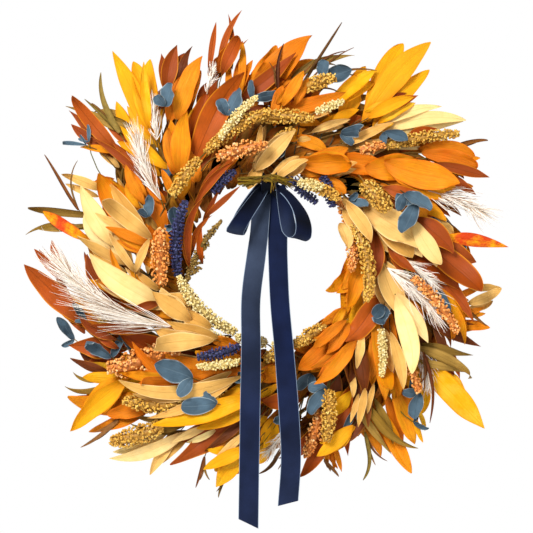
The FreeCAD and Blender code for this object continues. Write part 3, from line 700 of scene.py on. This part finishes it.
def split_solids(node):
    """Each separate solid of a node as its points and its triangles' edges."""
    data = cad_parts[node].data
    data.calc_loop_triangles()
    points = np.empty(len(data.vertices) * 3)
    data.vertices.foreach_get("co", points)
    triangles = np.empty(len(data.loop_triangles) * 3, int)
    data.loop_triangles.foreach_get("vertices", triangles)
    welded, match = np.unique(np.round(points.reshape(-1, 3), 6), axis=0, return_inverse=True)
    triangles = match.ravel()[triangles].reshape(-1, 3)
    edges = np.concatenate([triangles[:, [0, 1]], triangles[:, [1, 2]], triangles[:, [2, 0]]])
    label = np.arange(len(welded))
    while True:
        low = np.minimum(label[edges[:, 0]], label[edges[:, 1]])
        fresh = label.copy()
        np.minimum.at(fresh, edges[:, 0], low)
        np.minimum.at(fresh, edges[:, 1], low)
        fresh = fresh[fresh]
        if (fresh == label).all():
            break
        label = fresh
    owner = label[edges[:, 0]]
    return [welded[edges[owner == one]] for one in np.unique(owner)]


def spiral_place(point):
    """How far round and out a plan point is: it grows from a sprig's base to its tip."""
    across, up = point[0] - CENTRE[0], point[2] - CENTRE[2]
    return math.atan2(across, up), math.hypot(across, up)


def on_ring(turn, out, depth):
    """The point at a turn clockwise from the top, a distance from the ring's centre, and a depth."""
    return [CENTRE[0] + out * math.sin(turn), depth, CENTRE[2] + out * math.cos(turn)]


def turned(x, z, degrees):
    """Plan coordinates turned clockwise."""
    turn = math.radians(degrees)
    return x * math.cos(turn) + z * math.sin(turn), -x * math.sin(turn) + z * math.cos(turn)


def middle_line(edges):
    """(middle line from base to tip, largest half-width) of one solid, from its edges."""
    centres = edges.mean(axis=1)
    weights = np.linalg.norm(edges[:, 0] - edges[:, 1], axis=1)
    origin = np.average(centres, axis=0, weights=weights)
    plan = (centres - origin)[:, [0, 2]]
    spread = (plan * weights[:, None]).T @ plan
    direction = np.linalg.eigh(spread)[1][:, 1]
    way = np.array([direction[0], 0, direction[1]])
    cross = np.array([-way[2], 0, way[0]])
    reach = (edges - origin) @ way
    low, high = reach.min(), reach.max()
    first_turn, first_out = spiral_place(origin + way * low)
    last_turn, last_out = spiral_place(origin + way * high)
    turn = (last_turn - first_turn + math.pi) % (2 * math.pi) - math.pi
    if last_out - first_out + 0.15 * turn < 0:
        way, cross, reach = -way, -cross, -reach
        low, high = -high, -low
    line, half = [], 0.0
    for share in np.linspace(0.01, 0.99, STATIONS):
        level = low + share * (high - low)
        hit = (reach[:, 0] < level) != (reach[:, 1] < level)
        part = (level - reach[hit, 0]) / (reach[hit, 1] - reach[hit, 0])
        cut = edges[hit, 0] + (edges[hit, 1] - edges[hit, 0]) * part[:, None]
        sideways = (cut - origin) @ cross
        middle = origin + way * level + cross * (sideways.min() + sideways.max()) / 2
        middle[1] = (cut[:, 1].min() + cut[:, 1].max()) / 2
        line.append(middle)
        half = max(half, (sideways.max() - sideways.min()) / 2)
    return np.array(line), half


def about_centre(line, degrees):
    """The line turned clockwise round the ring centre."""
    moved = line.copy()
    x, z = turned(line[:, 0] - CENTRE[0], line[:, 2] - CENTRE[2], degrees)
    moved[:, 0] = CENTRE[0] + x
    moved[:, 2] = CENTRE[2] + z
    return moved


def about_base(line, degrees, size):
    """The line turned in plan about its own base and resized."""
    from_base = (line - line[0]) * size
    from_base[:, 0], from_base[:, 2] = turned(from_base[:, 0], from_base[:, 2], degrees)
    return line[0] + from_base


# The furthest back a companion under a leaf may lie.
COMPANION_LIMIT = -19 * MM


def companion(line, rng, near):
    """A smaller copy behind a leaf: near it, or under it and further back round the swirl."""
    if near:
        moved = about_centre(line, rng.uniform(-4, 4))
        moved = about_base(moved, rng.uniform(-16, 16), rng.uniform(0.62, 0.88))
        moved[:, 1] += rng.uniform(2.0, 5.0) * MM
        return moved
    moved = about_centre(line, rng.uniform(-11, 9))
    moved = about_base(moved, rng.uniform(-22, 22), rng.uniform(0.6, 0.9))
    inward = rng.uniform(0.80, 0.97)
    for i in (0, 2):
        moved[:, i] = CENTRE[i] + (moved[:, i] - CENTRE[i]) * inward
    moved[:, 1] += rng.uniform(5.0, 12.0) * MM
    moved[:, 1] = np.minimum(moved[:, 1], COMPANION_LIMIT)
    return moved


# Where a sprig's stem ends: out from the form's middle plane, and from the ring's centre.
STEM_HEIGHT = 23 * MM
STEM_RING = 128 * MM


def add_sprig_stem(mesh, cover, line, rng, radius=0.8 * MM):
    """A stem from a sprig's base back along the swirl into the bundles."""
    start = line[0]
    back = spiral_place(start)[0] - math.radians(rng.uniform(14, 24))
    ring = STEM_RING + rng.uniform(-14, 14) * MM
    end = np.array(on_ring(back, ring, CENTRE[1] - STEM_HEIGHT))
    run = unit(line[1] - line[0])
    bend = start - run * np.linalg.norm(start - end) * 0.3
    bend[1] = (start[1] + 3 * end[1]) / 4
    shares = np.linspace(0, 1, 7)[:, None]
    path = (1 - shares) ** 2 * (start + run * 2 * MM) + 2 * shares * (1 - shares) * bend + shares**2 * end
    add_tube(mesh, cover.tuck(path), np.linspace(radius * 0.7, radius, 7), rng.random())


# ---------------------------------------------------------------- species

SHAPES = {
    "golden_leaves": LeafShape(0.85, 0.85, 0.26, 0.20, 0.06, 7, 0.22 * MM, 0.35, 0.25, 0.45),
    "orange_husks": LeafShape(0.75, 0.80, 0.34, 0.14, 0.12, 5, 0.40 * MM, 0.55, 0.30, 0.60),
    "rust_leaves": LeafShape(0.90, 1.05, 0.22, 0.24, 0.05, 1, 0.0, 0.50, 0.40, 0.50),
    "brown_leaves": LeafShape(0.90, 1.00, 0.30, 0.18, 0.07, 1, 0.0, 0.60, 0.45, 0.60),
    "tan_leaves": LeafShape(0.80, 0.85, 0.32, 0.16, 0.07, 1, 0.0, 0.50, 0.30, 0.55),
    "cream_leaves": LeafShape(0.85, 0.90, 0.26, 0.12, 0.05, 3, 0.08 * MM, 0.35, 0.25, 0.40),
    "olive_leaves": LeafShape(0.75, 1.05, 0.40, 0.35, 0.04, 3, 0.10 * MM, 0.60, 0.55, 1.10),
    "mottled_leaves": LeafShape(0.80, 0.90, 0.20, 0.10, 0.03, 9, 0.15 * MM, 0.20, 0.10, 0.15),
    "eucalyptus_leaves": LeafShape(0.60, 0.42, 0.45, 0.40, 0.10, 1, 0.0, 0.60, 0.20, 0.80),
}

# How wide a drawn leaf is next to its plain solid, which holds the leaf's curls too.
LEAF_WIDTH = 0.90

PAINTS = {
    "golden_leaves": LeafPaint(
        ["#FFB02A", "#FDBB3E", "#FFCB55", "#F9A826"], "#DD861A", "#F0962A", "#F0A030", 0.30,
        22.0, 0.34, "#F6961E", 0.45, 0.0, 0.62,
    ),
    "orange_husks": LeafPaint(
        ["#EE8C1A", "#FA9E26", "#F9AC34", "#E87C16", "#F6961E"], "#B8600F", "#E8761A", "#D0620E", 0.10,
        20.0, 0.48, "#E4641A", 0.34, 0.0, 0.58,
    ),
    "rust_leaves": LeafPaint(
        ["#924011", "#A54713", "#B95619", "#82350C", "#9F4311"], "#652C0E", "#DC9040", "#6E300E", 0.40,
        7.0, 0.16, "#86400F", 0.45, 0.06, 0.55,
    ),
    "brown_leaves": LeafPaint(
        ["#663012", "#74391A", "#522610", "#83451C"], "#3A1A0A", "#A8692E", "#421E0C", 0.35,
        8.0, 0.22, "#4A240E", 0.50, 0.05, 0.55,
    ),
    "tan_leaves": LeafPaint(
        ["#E7B268", "#F2C378", "#D8A55A", "#F7CE86"], "#A87A40", "#FAD79A", "#BC8A48", 0.30,
        9.0, 0.16, "#C48E4C", 0.45, 0.05, 0.58,
    ),
    "cream_leaves": LeafPaint(
        ["#F8DA96", "#FCE6A4", "#F2CC88", "#FADFA6"], "#D8A862", "#EAC27E", "#E4BE78", 0.30,
        10.0, 0.14, "#E8BE74", 0.45, 0.03, 0.58,
    ),
    "olive_leaves": LeafPaint(
        ["#A8823C", "#987534", "#876832", "#BC9650"], "#665020", "#8A6C34", "#6C5224", 0.40,
        14.0, 0.28, "#785A26", 0.40, 0.0, 0.58,
    ),
    "mottled_leaves": LeafPaint(
        ["#E04A18", "#D43E12"], "#F0A83C", "#C8401A", "#C0381A", 0.35,
        30.0, 0.20, "#FFBE3A", 0.97, 0.10, 0.55,
    ),
    "eucalyptus_leaves": LeafPaint(
        ["#465A68", "#536876", "#3A4D5B", "#202E38", "#5E7482"], "#283842", "#A4B2B6", "#6E818C", 0.30,
        6.0, 0.14, "#60798A", 0.50, 0.04, 0.70, 0.08,
    ),
}

SEEDS = {
    "gold_millet": SeedShape(4.6 * MM, 5, 2.5 * MM, 2.1 * MM, 1.9 * MM, 0.5, 0.16),
    "cream_wheat": SeedShape(4.2 * MM, 4, 2.9 * MM, 2.0 * MM, 1.7 * MM, 0.8, 0.14),
    "orange_sorghum": SeedShape(5.4 * MM, 5, 2.9 * MM, 2.4 * MM, 2.3 * MM, 0.5, 0.30),
    "navy_lavender": SeedShape(2.9 * MM, 3, 2.8 * MM, 1.6 * MM, 1.4 * MM, 0.8, 0.22, 4.0 * MM),
}

# Grain tints, then the colour of the painted shade where grains meet the stalk.
SEED_PAINTS = {
    "gold_millet": (["#B07C20", "#D69C30", "#EDBC4C", "#F8DA80"], "#8A5F1A"),
    "cream_wheat": (["#D6B660", "#ECD384", "#F7E6A8", "#FFF3C8"], "#A88740"),
    "orange_sorghum": (["#D87620", "#EE943A", "#FAB25E", "#FFDEA8"], "#9C4C12"),
    "navy_lavender": (["#181A3A", "#262A54", "#383C70", "#6A6EA0"], "#10122A"),
}

PLUME_TINTS = ["#FFFCF4", "#FBF2E4", "#F4E8D8", "#FFFDF8", "#FDF6EA", "#D2B698", "#8A5A3C"]
BLADE_TINTS = ["#6A3014", "#8A5420", "#8A7434", "#5A2C14", "#A8763A"]

SLOTS = {
    "golden_leaves": "golden_leaf", "orange_husks": "orange_husk", "rust_leaves": "rust_leaf",
    "brown_leaves": "brown_leaf", "tan_leaves": "tan_leaf", "cream_leaves": "cream_leaf",
    "olive_leaves": "olive_leaf", "mottled_leaves": "mottled_leaf", "grass_blades": "grass_blade",
    "eucalyptus_leaves": "eucalyptus", "white_plumes": "plume", "gold_millet": "gold_millet",
    "cream_wheat": "cream_wheat", "orange_sorghum": "orange_sorghum", "navy_lavender": "lavender",
}

# How many companions follow each leaf, near it and under it.
COMPANIONS = {
    "golden_leaves": (2, 2), "orange_husks": (3, 3), "rust_leaves": (2, 2), "brown_leaves": (2, 2),
    "tan_leaves": (2, 2), "cream_leaves": (1, 1), "olive_leaves": (2, 1), "mottled_leaves": (0, 0),
}

# How much of its length a leaf goes on past its plain solid's base, how much further back its base then lies,
# and the furthest back it may lie.
ROOT_SHARE = 0.24
ROOT_DROP = 6 * MM
ROOT_LIMIT = -18 * MM


def rooted(line):
    """The line with its base drawn back and down among the stems."""
    run = (line[1] - line[0]) / np.linalg.norm(line[1] - line[0])
    length = np.linalg.norm(line[-1] - line[0])
    extra = []
    for part in (1.0, 0.5):
        back = line[0] - run * ROOT_SHARE * part * length
        back[1] = min(line[0][1] + ROOT_DROP * part, ROOT_LIMIT)
        extra.append(back)
    return np.concatenate([extra, line])


# How much fuller a drawn seed head is than its plain solid.
SEED_FULLNESS = {"gold_millet": 1.22, "cream_wheat": 1.08, "orange_sorghum": 1.12, "navy_lavender": 1.15}
PLUME_FULLNESS = 1.05
HAIRS_PER_METRE = 2300

BLADE = LeafShape(0.25, 0.55, 0.55, 0.35, 0.0, 1, 0.0, 0.35, 0.7, 0.9)
BLADE_THICK = 0.6 * MM
BLADE_WIDTH = 0.95

# A eucalyptus leaf's length and width next to its plain solid's, and how far its pair turns, in degrees.
EUCALYPTUS_LENGTH = 0.92
EUCALYPTUS_WIDTH = 0.88
PAIR_TURN = (45, 85)

# seed: names its random numbers, and starts with its node. half: its largest half-width. leads: True for the
# sprig of a plain solid, False for a companion.
Sprig = namedtuple("Sprig", "seed species line half leads")


def sprigs_of(node, species):
    """A node's own sprigs, which lead, and the companions that follow each of them."""
    rng = random.Random(node)
    made = []

    def put(line, half, leads):
        made.append(Sprig(f"{node} {len(made)}", species, line, half, leads))

    for edges in split_solids(node):
        line, half = middle_line(edges)
        if species not in SHAPES:
            put(line, half, True)
            continue
        half *= LEAF_WIDTH
        if species == "eucalyptus_leaves":
            line = about_base(line, 0, EUCALYPTUS_LENGTH)
            half *= EUCALYPTUS_WIDTH
            put(line, half, True)
            pair = about_base(line, rng.choice((-1, 1)) * rng.uniform(*PAIR_TURN), rng.uniform(0.45, 0.65))
            put(pair, half * rng.uniform(0.6, 0.8), False)
            continue
        put(rooted(line), half, True)
        near, under = COMPANIONS[species]
        for close in [True] * near + [False] * under:
            put(rooted(companion(line, rng, close)), half * rng.uniform(0.7, 0.95), False)
    return made


# The swirl's rise for each radian of turn, its middle radius, and its fall for each square metre from there.
SWIRL_RISE = 0.0221
SWIRL_MIDDLE = 0.130
SWIRL_DOME = 0.9


def backness(sprig):
    """Grows from the frontmost sprig to the one furthest back, as the swirl lays them."""
    middle = sprig.line[len(sprig.line) // 2]
    dome = SWIRL_DOME * (spiral_place(middle)[1] - SWIRL_MIDDLE) ** 2
    return turn_from_seam(middle) * SWIRL_RISE + middle[1] - dome


def add_blade(mesh, cover, line, half, rng):
    add_leaf(mesh, cover, line, half, BLADE, rng, along=26, across=4, thick=BLADE_THICK)


def grow(sprig, mesh, stems, cover):
    """Draw one sprig, and the stem of one that leads."""
    middle = sprig.line[len(sprig.line) // 2]
    rng = random.Random(sprig.seed)
    cover.third = min(int(turn_from_seam(middle) / (2 * math.pi / 3)), 2)
    cover.spare = rng.uniform(0, 2) * MM
    species, line, half = sprig.species, sprig.line, sprig.half
    if species in SHAPES:
        add_leaf(mesh, cover, line, half, SHAPES[species], rng, front=sprig.leads)
    elif species in SEEDS:
        add_seed_head(mesh, cover, line, half * SEED_FULLNESS[species], SEEDS[species], rng)
    elif species == "white_plumes":
        hairs = int(HAIRS_PER_METRE * np.linalg.norm(line[-1] - line[0]))
        add_plume(mesh, cover, line, half * PLUME_FULLNESS, rng, hairs)
    else:
        add_blade(mesh, cover, line, half * BLADE_WIDTH, rng)
        for _ in range(2):
            thinner = about_base(line, rng.uniform(-14, 14), rng.uniform(0.5, 0.9))
            add_blade(mesh, cover, thinner, half * rng.uniform(0.45, 0.75), rng)
    if sprig.leads:
        add_sprig_stem(stems, cover, line, rng, radius=(1.1 if species in SEEDS else 0.8) * MM)


# How far before the seam, in radians, the sprigs are laid once more.
LEAD_IN = 0.8


def add_foliage(stems, cover):
    """One piece for each foliage node. The sprigs just before the seam are laid once more at the start, to
    count as cover for the ones after it."""
    paints = {species: leaf_material(species, paint) for species, paint in PAINTS.items()}
    paints.update({species: seed_material(species, *codes) for species, codes in SEED_PAINTS.items()})
    paints["white_plumes"] = strand_material("white_plumes", PLUME_TINTS, rough=0.6, light=(0.86, 1.05))
    paints["grass_blades"] = strand_material("grass_blades", BLADE_TINTS)
    sprigs, meshes = [], {}
    for node in sorted(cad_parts):
        species, _, third = node.rpartition("_")
        if third in THIRDS and species in SLOTS:
            meshes[node] = Mesh()
            sprigs += sprigs_of(node, species)
    sprigs.sort(key=backness)
    for sprig in sprigs:
        if turn_from_seam(sprig.line[len(sprig.line) // 2]) > 2 * math.pi - LEAD_IN:
            grow(sprig, Mesh(), Mesh(), cover)
    cover.first = np.maximum(cover.first, cover.rest)
    cover.rest = np.full((CELLS, CELLS), NOTHING)
    for sprig in sprigs:
        grow(sprig, meshes[sprig.seed.split()[0]], stems, cover)
    for node, mesh in meshes.items():
        species = node.rpartition("_")[0]
        finish_piece(mesh.make(f"{node}_detail", paints[species]), "wreath", SLOTS[species], node)


def finish_piece(piece, body, slot, *nodes):
    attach(piece, body)
    if nodes:
        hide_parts(*nodes)


# ---------------------------------------------------------------- stems and under blades


STEMS_IN_BUNDLE = 11
STEM_TURN = 2.4


def add_bundles(mesh):
    """Thin stems along each bound bundle."""
    rng = random.Random("bundles")
    for edges in split_solids("stem_bundles"):
        points = edges.reshape(-1, 3)
        turns, outs = np.array([spiral_place(p) for p in points]).T
        middle = math.atan2(np.sin(turns).mean(), np.cos(turns).mean())
        wide = np.abs((turns - middle + math.pi) % (2 * math.pi) - math.pi).max()
        ring = (outs.min() + outs.max()) / 2
        height = (points[:, 1].min() + points[:, 1].max()) / 2
        radius = (points[:, 1].max() - points[:, 1].min()) / 2
        for i in range(STEMS_IN_BUNDLE):
            angle, away = i * STEM_TURN, radius * math.sqrt((i + 0.5) / STEMS_IN_BUNDLE) * 0.78
            start, end = rng.uniform(-1.15, -0.9), rng.uniform(0.85, 1.15)
            drift = rng.uniform(-3, 3) * MM
            path = []
            for share in np.linspace(0, 1, 12):
                turn = middle + wide * (start + (end - start) * share)
                out = ring + away * math.cos(angle) + drift * (share - 0.5)
                path.append(on_ring(turn, out, height + away * math.sin(angle)))
            add_tube(mesh, path, np.full(12, rng.uniform(0.9, 1.4) * MM), rng.random(), sides=6)


UNDER_BLADES = 600
UNDER_SHAPE = LeafShape(0.6, 0.8, 0.3, 0.2, 0.05, 3, 0.1 * MM, 0.3, 0.3, 0.5)
UNDER_PAINT = LeafPaint(
    ["#8A4A1A", "#C4701E", "#6E5A2A", "#E08A24", "#74380F", "#A07C3C", "#B0581A"],
    "#4A2C12", "#7A4A1E", "#4A2C12", 0.3, 12.0, 0.3, "#6A3A14", 0.4, 0.0, 0.6,
)

# How far from the top, in radians, the blades at the back must be, so that the hanger can swing.
CLEAR_OF_HANGER = 0.35


def add_under_blades(mesh, cover):
    """Short dry blades over the form, which close the gaps between the sprigs. One in three starts at the
    inner edge, and one in three at the outer edge, further back."""
    rng = random.Random("under")
    for i in range(UNDER_BLADES):
        turn = 2 * math.pi * (i + rng.random()) / UNDER_BLADES
        start = (rng.uniform(92, 112) if i % 3 == 0 else rng.uniform(104, 172)) * MM
        length, sweep = rng.uniform(20, 46) * MM, rng.uniform(0.14, 0.34)
        height = rng.uniform(20, 33) * MM
        from_top = abs((turn + sweep / 2 + math.pi) % (2 * math.pi) - math.pi)
        if i % 3 == 1 and from_top > CLEAR_OF_HANGER:
            start, height = rng.uniform(158, 176) * MM, rng.uniform(6, 28) * MM
        line = [
            on_ring(turn + sweep * share, start + length * share, -height - 4 * MM * share)
            for share in np.linspace(0, 1, 5)
        ]
        wide = rng.uniform(3, 8) * MM
        add_leaf(mesh, cover, np.array(line), wide, UNDER_SHAPE, rng, along=10, across=4, front=False)


# ---------------------------------------------------------------- ribbon

RIBBON_WIDTH = 22 * MM
RIBBON_THICK = 0.9 * MM


def from_ring(across, height, up):
    """A point from millimetres across and up from the ring centre, and out from the door plane."""
    return CENTRE + np.array([across, 0, up]) * MM + FORWARD * (height * MM + CENTRE[1])


def curve_through(points, count):
    """Evenly spaced points of a smooth curve through the given ones."""
    knots = np.array(points, float)
    before, after = 2 * knots[0] - knots[1], 2 * knots[-1] - knots[-2]
    padded = np.concatenate([[before], knots, [after]])
    fine = []
    for i in range(1, len(padded) - 2):
        p0, p1, p2, p3 = padded[i - 1 : i + 3]
        for t in np.linspace(0, 1, 24, endpoint=False):
            fine.append(
                0.5 * (2 * p1 + (p2 - p0) * t + (2 * p0 - 5 * p1 + 4 * p2 - p3) * t**2
                       + (3 * p1 - p0 - 3 * p2 + p3) * t**3)
            )
    fine = np.array(fine + [knots[-1]])
    run = np.concatenate([[0], np.cumsum(np.linalg.norm(np.diff(fine, axis=0), axis=1))])
    at = np.linspace(0, run[-1], count)
    return np.stack([np.interp(at, run, fine[:, i]) for i in range(fine.shape[1])], axis=1), run[-1]


def add_band(mesh, path, across, cup, sheen_and_shade, slant=0.0):
    """A closed ribbon along a path. across holds half-width vectors, cup the lift of the edges, the fourth
    argument the places and values of the velvet's painted sheen and shade, and slant the slope of the cut
    end.
    Where it is narrower than the ribbon, the ribbon is gathered: its middle bulges to keep its width."""
    v = np.linspace(-1, 1, 9)
    run = unit(np.gradient(path, axis=0))
    face = unit(np.cross(across, run))
    chord = 2 * np.linalg.norm(across, axis=1)
    gather = chord * np.sqrt(0.3 * np.maximum(RIBBON_WIDTH / chord - 1, 0))
    cup = cup - gather
    front = path[:, None] + across[:, None] * v[None, :, None]
    front = front + face[:, None] * (cup[:, None] * v[None, :] ** 2)[..., None]
    share = np.linspace(0, 1, len(path))[:, None]
    front = front + run[:, None] * (slant * v[None, :] * np.clip(share - 0.9, 0, 1) * 10)[..., None]
    inner = 1 - (np.abs(v) > 0.99) * 0.6
    half = face[:, None] * (RIBBON_THICK / 2 * inner)[None, :, None]
    # The third mark value is the painted sheen and shade level of each row.
    marks = marks_of(front.shape[:2], share, v[None, :], np.interp(share, *sheen_and_shade))
    add_sheet(mesh, front + half, front - half, marks)


TAIL_POINTS = 90
TAIL_CUP = 0.5 * MM
LOOP_POINTS = 80
LOOP_CUP = 0.8 * MM
KNOT_POINTS = 64


def make_tail(side, knots, sheen_and_shade, slant, velvet):
    """One hanging tail, which bends at the fold under the loops. Knots hold across, out, up, share of width
    and turn of the width out of the front plane, in degrees."""
    through = [(*from_ring(x, h, z), share * MM, turn * MM) for x, h, z, share, turn in knots]
    rows, length = curve_through(through, TAIL_POINTS)
    path = rows[:, :3]
    run = unit(np.gradient(path, axis=0))
    flat = unit(np.cross(FORWARD, run))
    turn = np.radians(rows[:, 4] / MM)
    across = flat * np.cos(turn)[:, None] + FORWARD * np.sin(turn)[:, None]
    across = across * (rows[:, 3:4] / MM * RIBBON_WIDTH / 2)
    mesh = Mesh()
    cup = TAIL_CUP * (1 + 0.6 * np.sin(np.linspace(0, 9, TAIL_POINTS)))
    add_band(mesh, path, -across, cup, sheen_and_shade, slant * MM)
    piece = mesh.make(f"{side}_tail_ribbon", velvet)
    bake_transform(piece)
    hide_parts(f"{side}_tail_upper", f"{side}_tail")


def make_loop(side, knots, wide, sheen_and_shade, velvet):
    """One bow loop. Knots hold across, out and up of the middle line, and the share of the width there."""
    through = [(*from_ring(x, h, z), share * MM) for x, h, z, share in knots]
    rows, length = curve_through(through, LOOP_POINTS)
    across = unit(np.array(wide))[None, :] * (rows[:, 3:4] / MM * RIBBON_WIDTH / 2)
    mesh = Mesh()
    add_band(mesh, rows[:, :3], across, np.full(LOOP_POINTS, LOOP_CUP), sheen_and_shade)
    piece = mesh.make(f"{side}_loop_ribbon", velvet)
    finish_piece(piece, "wreath", "ribbon", f"bow_loop_{side}")


def make_knot(velvet):
    """A short wrap of the ribbon round the middle of the bow, gathered to a narrow waist."""
    low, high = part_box("bow_knot")
    middle, size = (np.array(low) + np.array(high)) / 2, np.array(high) - np.array(low)
    turn = np.linspace(-0.5 * math.pi, 1.52 * math.pi, KNOT_POINTS)
    swell = 1 - 0.05 * np.linspace(0, 1, KNOT_POINTS)
    flat = np.zeros(KNOT_POINTS)
    path = middle + np.stack(
        [flat, np.cos(turn) * swell * size[1] * 0.47, np.sin(turn) * swell * size[2] * 0.45], axis=1
    )
    across = np.outer(0.42 + 0.04 * np.cos(2 * turn), [size[0], 0, 0])
    mesh = Mesh()
    # The whole knot is at the lowest painted light level: painted shade, black.
    add_band(mesh, path, across, flat, ([0, 1], [0, 0]))
    piece = mesh.make("knot_ribbon", velvet)
    finish_piece(piece, "wreath", "ribbon", "bow_knot")


def add_bow():
    velvet = velvet_material("ribbon_velvet", "#7C8CA0")
    # The knot's velvet has a dark edge, so its woven edge lies in painted shade with the rest of the knot.
    make_knot(velvet_material("knot_velvet", "#0A122A"))
    left = (
        (-12, 84, 84, 0.55), (-22, 92, 70, 0.80), (-36, 98, 48, 0.95), (-42, 98, 36, 1.0), (-43, 91, 31, 1.0),
        (-40, 83, 37, 1.0), (-33, 79, 52, 0.95), (-20, 78, 72, 0.75), (-11, 79, 84, 0.55),
    )
    # Painted light along the left loop: places along it and light levels, low for painted shade, high for
    # painted sheen.
    left_shade = ((0, 0.2, 0.36, 0.46, 0.6, 1), (0.0, 0.08, 0.25, 0.7, 0.2, 0.05))
    make_loop("left", left, (0.84, 0.52, -0.16), left_shade, velvet)
    right = (
        (2, 90, 83, 0.5), (6, 96, 70, 0.8), (11, 99, 50, 0.95), (16, 99, 33, 1.0), (23, 98, 26, 1.0),
        (29.5, 98, 30, 1.0), (30.5, 98, 44, 0.98), (26, 97, 60, 0.9), (16, 93, 75, 0.75), (4, 86, 84, 0.5),
    )
    # Painted light along the right loop: places along it and light levels, low for painted shade, high for
    # painted sheen.
    right_shade = ((0, 0.25, 0.45, 0.52, 0.62, 0.8, 1), (0.2, 0.5, 0.75, 0.4, 0.05, 0.2, 0.05))
    make_loop("right", right, (0.80, 0.58, -0.18), right_shade, velvet)
    left_tail = (
        (-9, 78, 84, 0.45, 0), (-13, 77, 70, 0.7, 12), (-16, 76, 55, 0.9, 14), (-18, 74, 30, 0.92, 10),
        (-21, 72, 5, 0.95, 4), (-26, 72, -40, 0.97, -12), (-26, 72, -90, 0.97, -8), (-27, 72, -150, 1.0, 4),
        (-28, 72, -220, 1.0, 8), (-29, 72, -283, 1.0, 4),
    )
    # The left tail's painted light: painted sheen high up, less further down.
    make_tail("left", left_tail, ((0, 0.3, 0.5, 0.7, 1), (0.94, 0.87, 0.55, 0.42, 0.45)), -5.0, velvet)
    right_tail = (
        (-2, 76, 84, 0.5, 0), (1, 74, 68, 0.82, -6), (3, 72, 50, 0.94, -8), (3, 71, 28, 0.96, -4),
        (3, 71, 5, 0.96, 2), (5, 71, -45, 0.97, 8), (10, 71, -100, 0.97, 6), (14, 71, -150, 1.0, -4),
        (17, 71, -210, 1.0, -8), (14, 71, -261, 1.0, -4),
    )
    # The right tail's painted light: a middle level all along.
    make_tail("right", right_tail, ((0, 0.5, 1), (0.40, 0.35, 0.5)), 3.5, velvet)


THREADS = 46
THREAD_POINTS = 16
SHORT_END_EVERY = 6


def add_raffia():
    """Loose ochre and olive threads laid over the top of the knot, and a few short ends down its front."""
    rng = random.Random("raffia")
    mesh = Mesh()
    for i in range(THREADS):
        lift = rng.uniform(-3, 3)
        knots = [
            from_ring(rng.uniform(-42, -24), 80 + lift, rng.uniform(82, 93)),
            from_ring(rng.uniform(-18, -12), 88 + lift / 2, rng.uniform(86, 93)),
            from_ring(rng.uniform(-6, 2), 92 + lift / 2, rng.uniform(87, 95)),
            from_ring(rng.uniform(10, 22), 82 + lift, rng.uniform(79, 92)),
        ]
        if i % SHORT_END_EVERY == 0:
            knots = knots[1:3] + [from_ring(rng.uniform(-8, 3), 91 + lift / 3, rng.uniform(74, 82))]
        path, _ = curve_through(knots, THREAD_POINTS)
        add_tube(mesh, path, np.linspace(0.8, 0.4, THREAD_POINTS) * MM, rng.random())
    paint = strand_material("raffia", ["#5C4C0E", "#8A6C12", "#A8801C", "#3A3410", "#7A5210"])
    finish_piece(mesh.make("knot_raffia", paint), "wreath", "stem")


KNOBS = 6
STALK_HALF = 4.6 * MM
KNOB_HALF = 2.3 * MM
STALK = SeedShape(3.0 * MM, 4, 2.2 * MM, 1.8 * MM, 1.5 * MM, 0.9, 0.30)


def add_knobbed_stalk(cover):
    """A brown seed stalk inside the ring, with short knobs along the side of its lower half."""
    rng = random.Random("stalk")
    mesh = Mesh()
    cover.third, cover.spare = 1, 0.0
    knots = ((-100, 29, -24), (-91, 31, -2), (-79, 33, 22), (-60, 34, 46))
    line, _ = curve_through([from_ring(*knot) for knot in knots], 24)
    add_seed_head(mesh, cover, line, STALK_HALF, STALK, rng)
    for i in range(KNOBS):
        start = line[3 + 2 * i]
        end = start + np.array([rng.uniform(8, 12), rng.uniform(-3, 0), rng.uniform(1, 6)]) * MM
        add_seed_head(mesh, cover, np.linspace(start, end, 5), KNOB_HALF, STALK, rng)
    # The last code is the colour of the painted shade where grains meet the stalk.
    paint = seed_material("brown_stalk", ["#6A4E16", "#8A6822", "#A07C30", "#B89446"], "#3E2E0C")
    finish_piece(mesh.make("knobbed_stalk", paint), "wreath", "stem")


def repaint(node, material):
    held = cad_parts[node]
    held.data.materials.clear()
    held.data.materials.append(material)


FORM = ("outer_back_ring", "upper_outer_ring", "upper_inner_ring", "inner_back_ring", "frame_crossbars")


def main():
    bpy.context.scene.view_settings.view_transform = "Standard"
    add_camera()
    add_world()
    add_floor()
    for light in LIGHTS:
        add_area_light(*light)

    stems = Mesh()
    add_bundles(stems)
    cover = Cover()
    add_foliage(stems, cover)
    under = Mesh()
    add_knobbed_stalk(cover)
    add_under_blades(under, cover)
    paint = strand_material("dry_stems", ["#5E3F1A", "#86622A", "#A27C3A", "#4E3A1A", "#6E6A28"])
    finish_piece(stems.make("bound_stems", paint), "wreath", "stem", "stem_bundles")
    dark = leaf_material("under_blades", UNDER_PAINT)
    finish_piece(under.make("under_blades", dark), "wreath", "stem")

    green = metal_material("green_paint", "#24452C", 0.45, metallic=0.2)
    steel = metal_material("drawn_steel", "#B9BBBD", 0.32, metallic=1.0)
    for node in FORM:
        repaint(node, green)
    repaint("binding_wire", metal_material("green_wire", "#1E3322", 0.5, metallic=0.3))
    for node in ("bow_tie_wire", "hanger_loop"):
        repaint(node, steel)
    add_bow()
    add_raffia()


main()
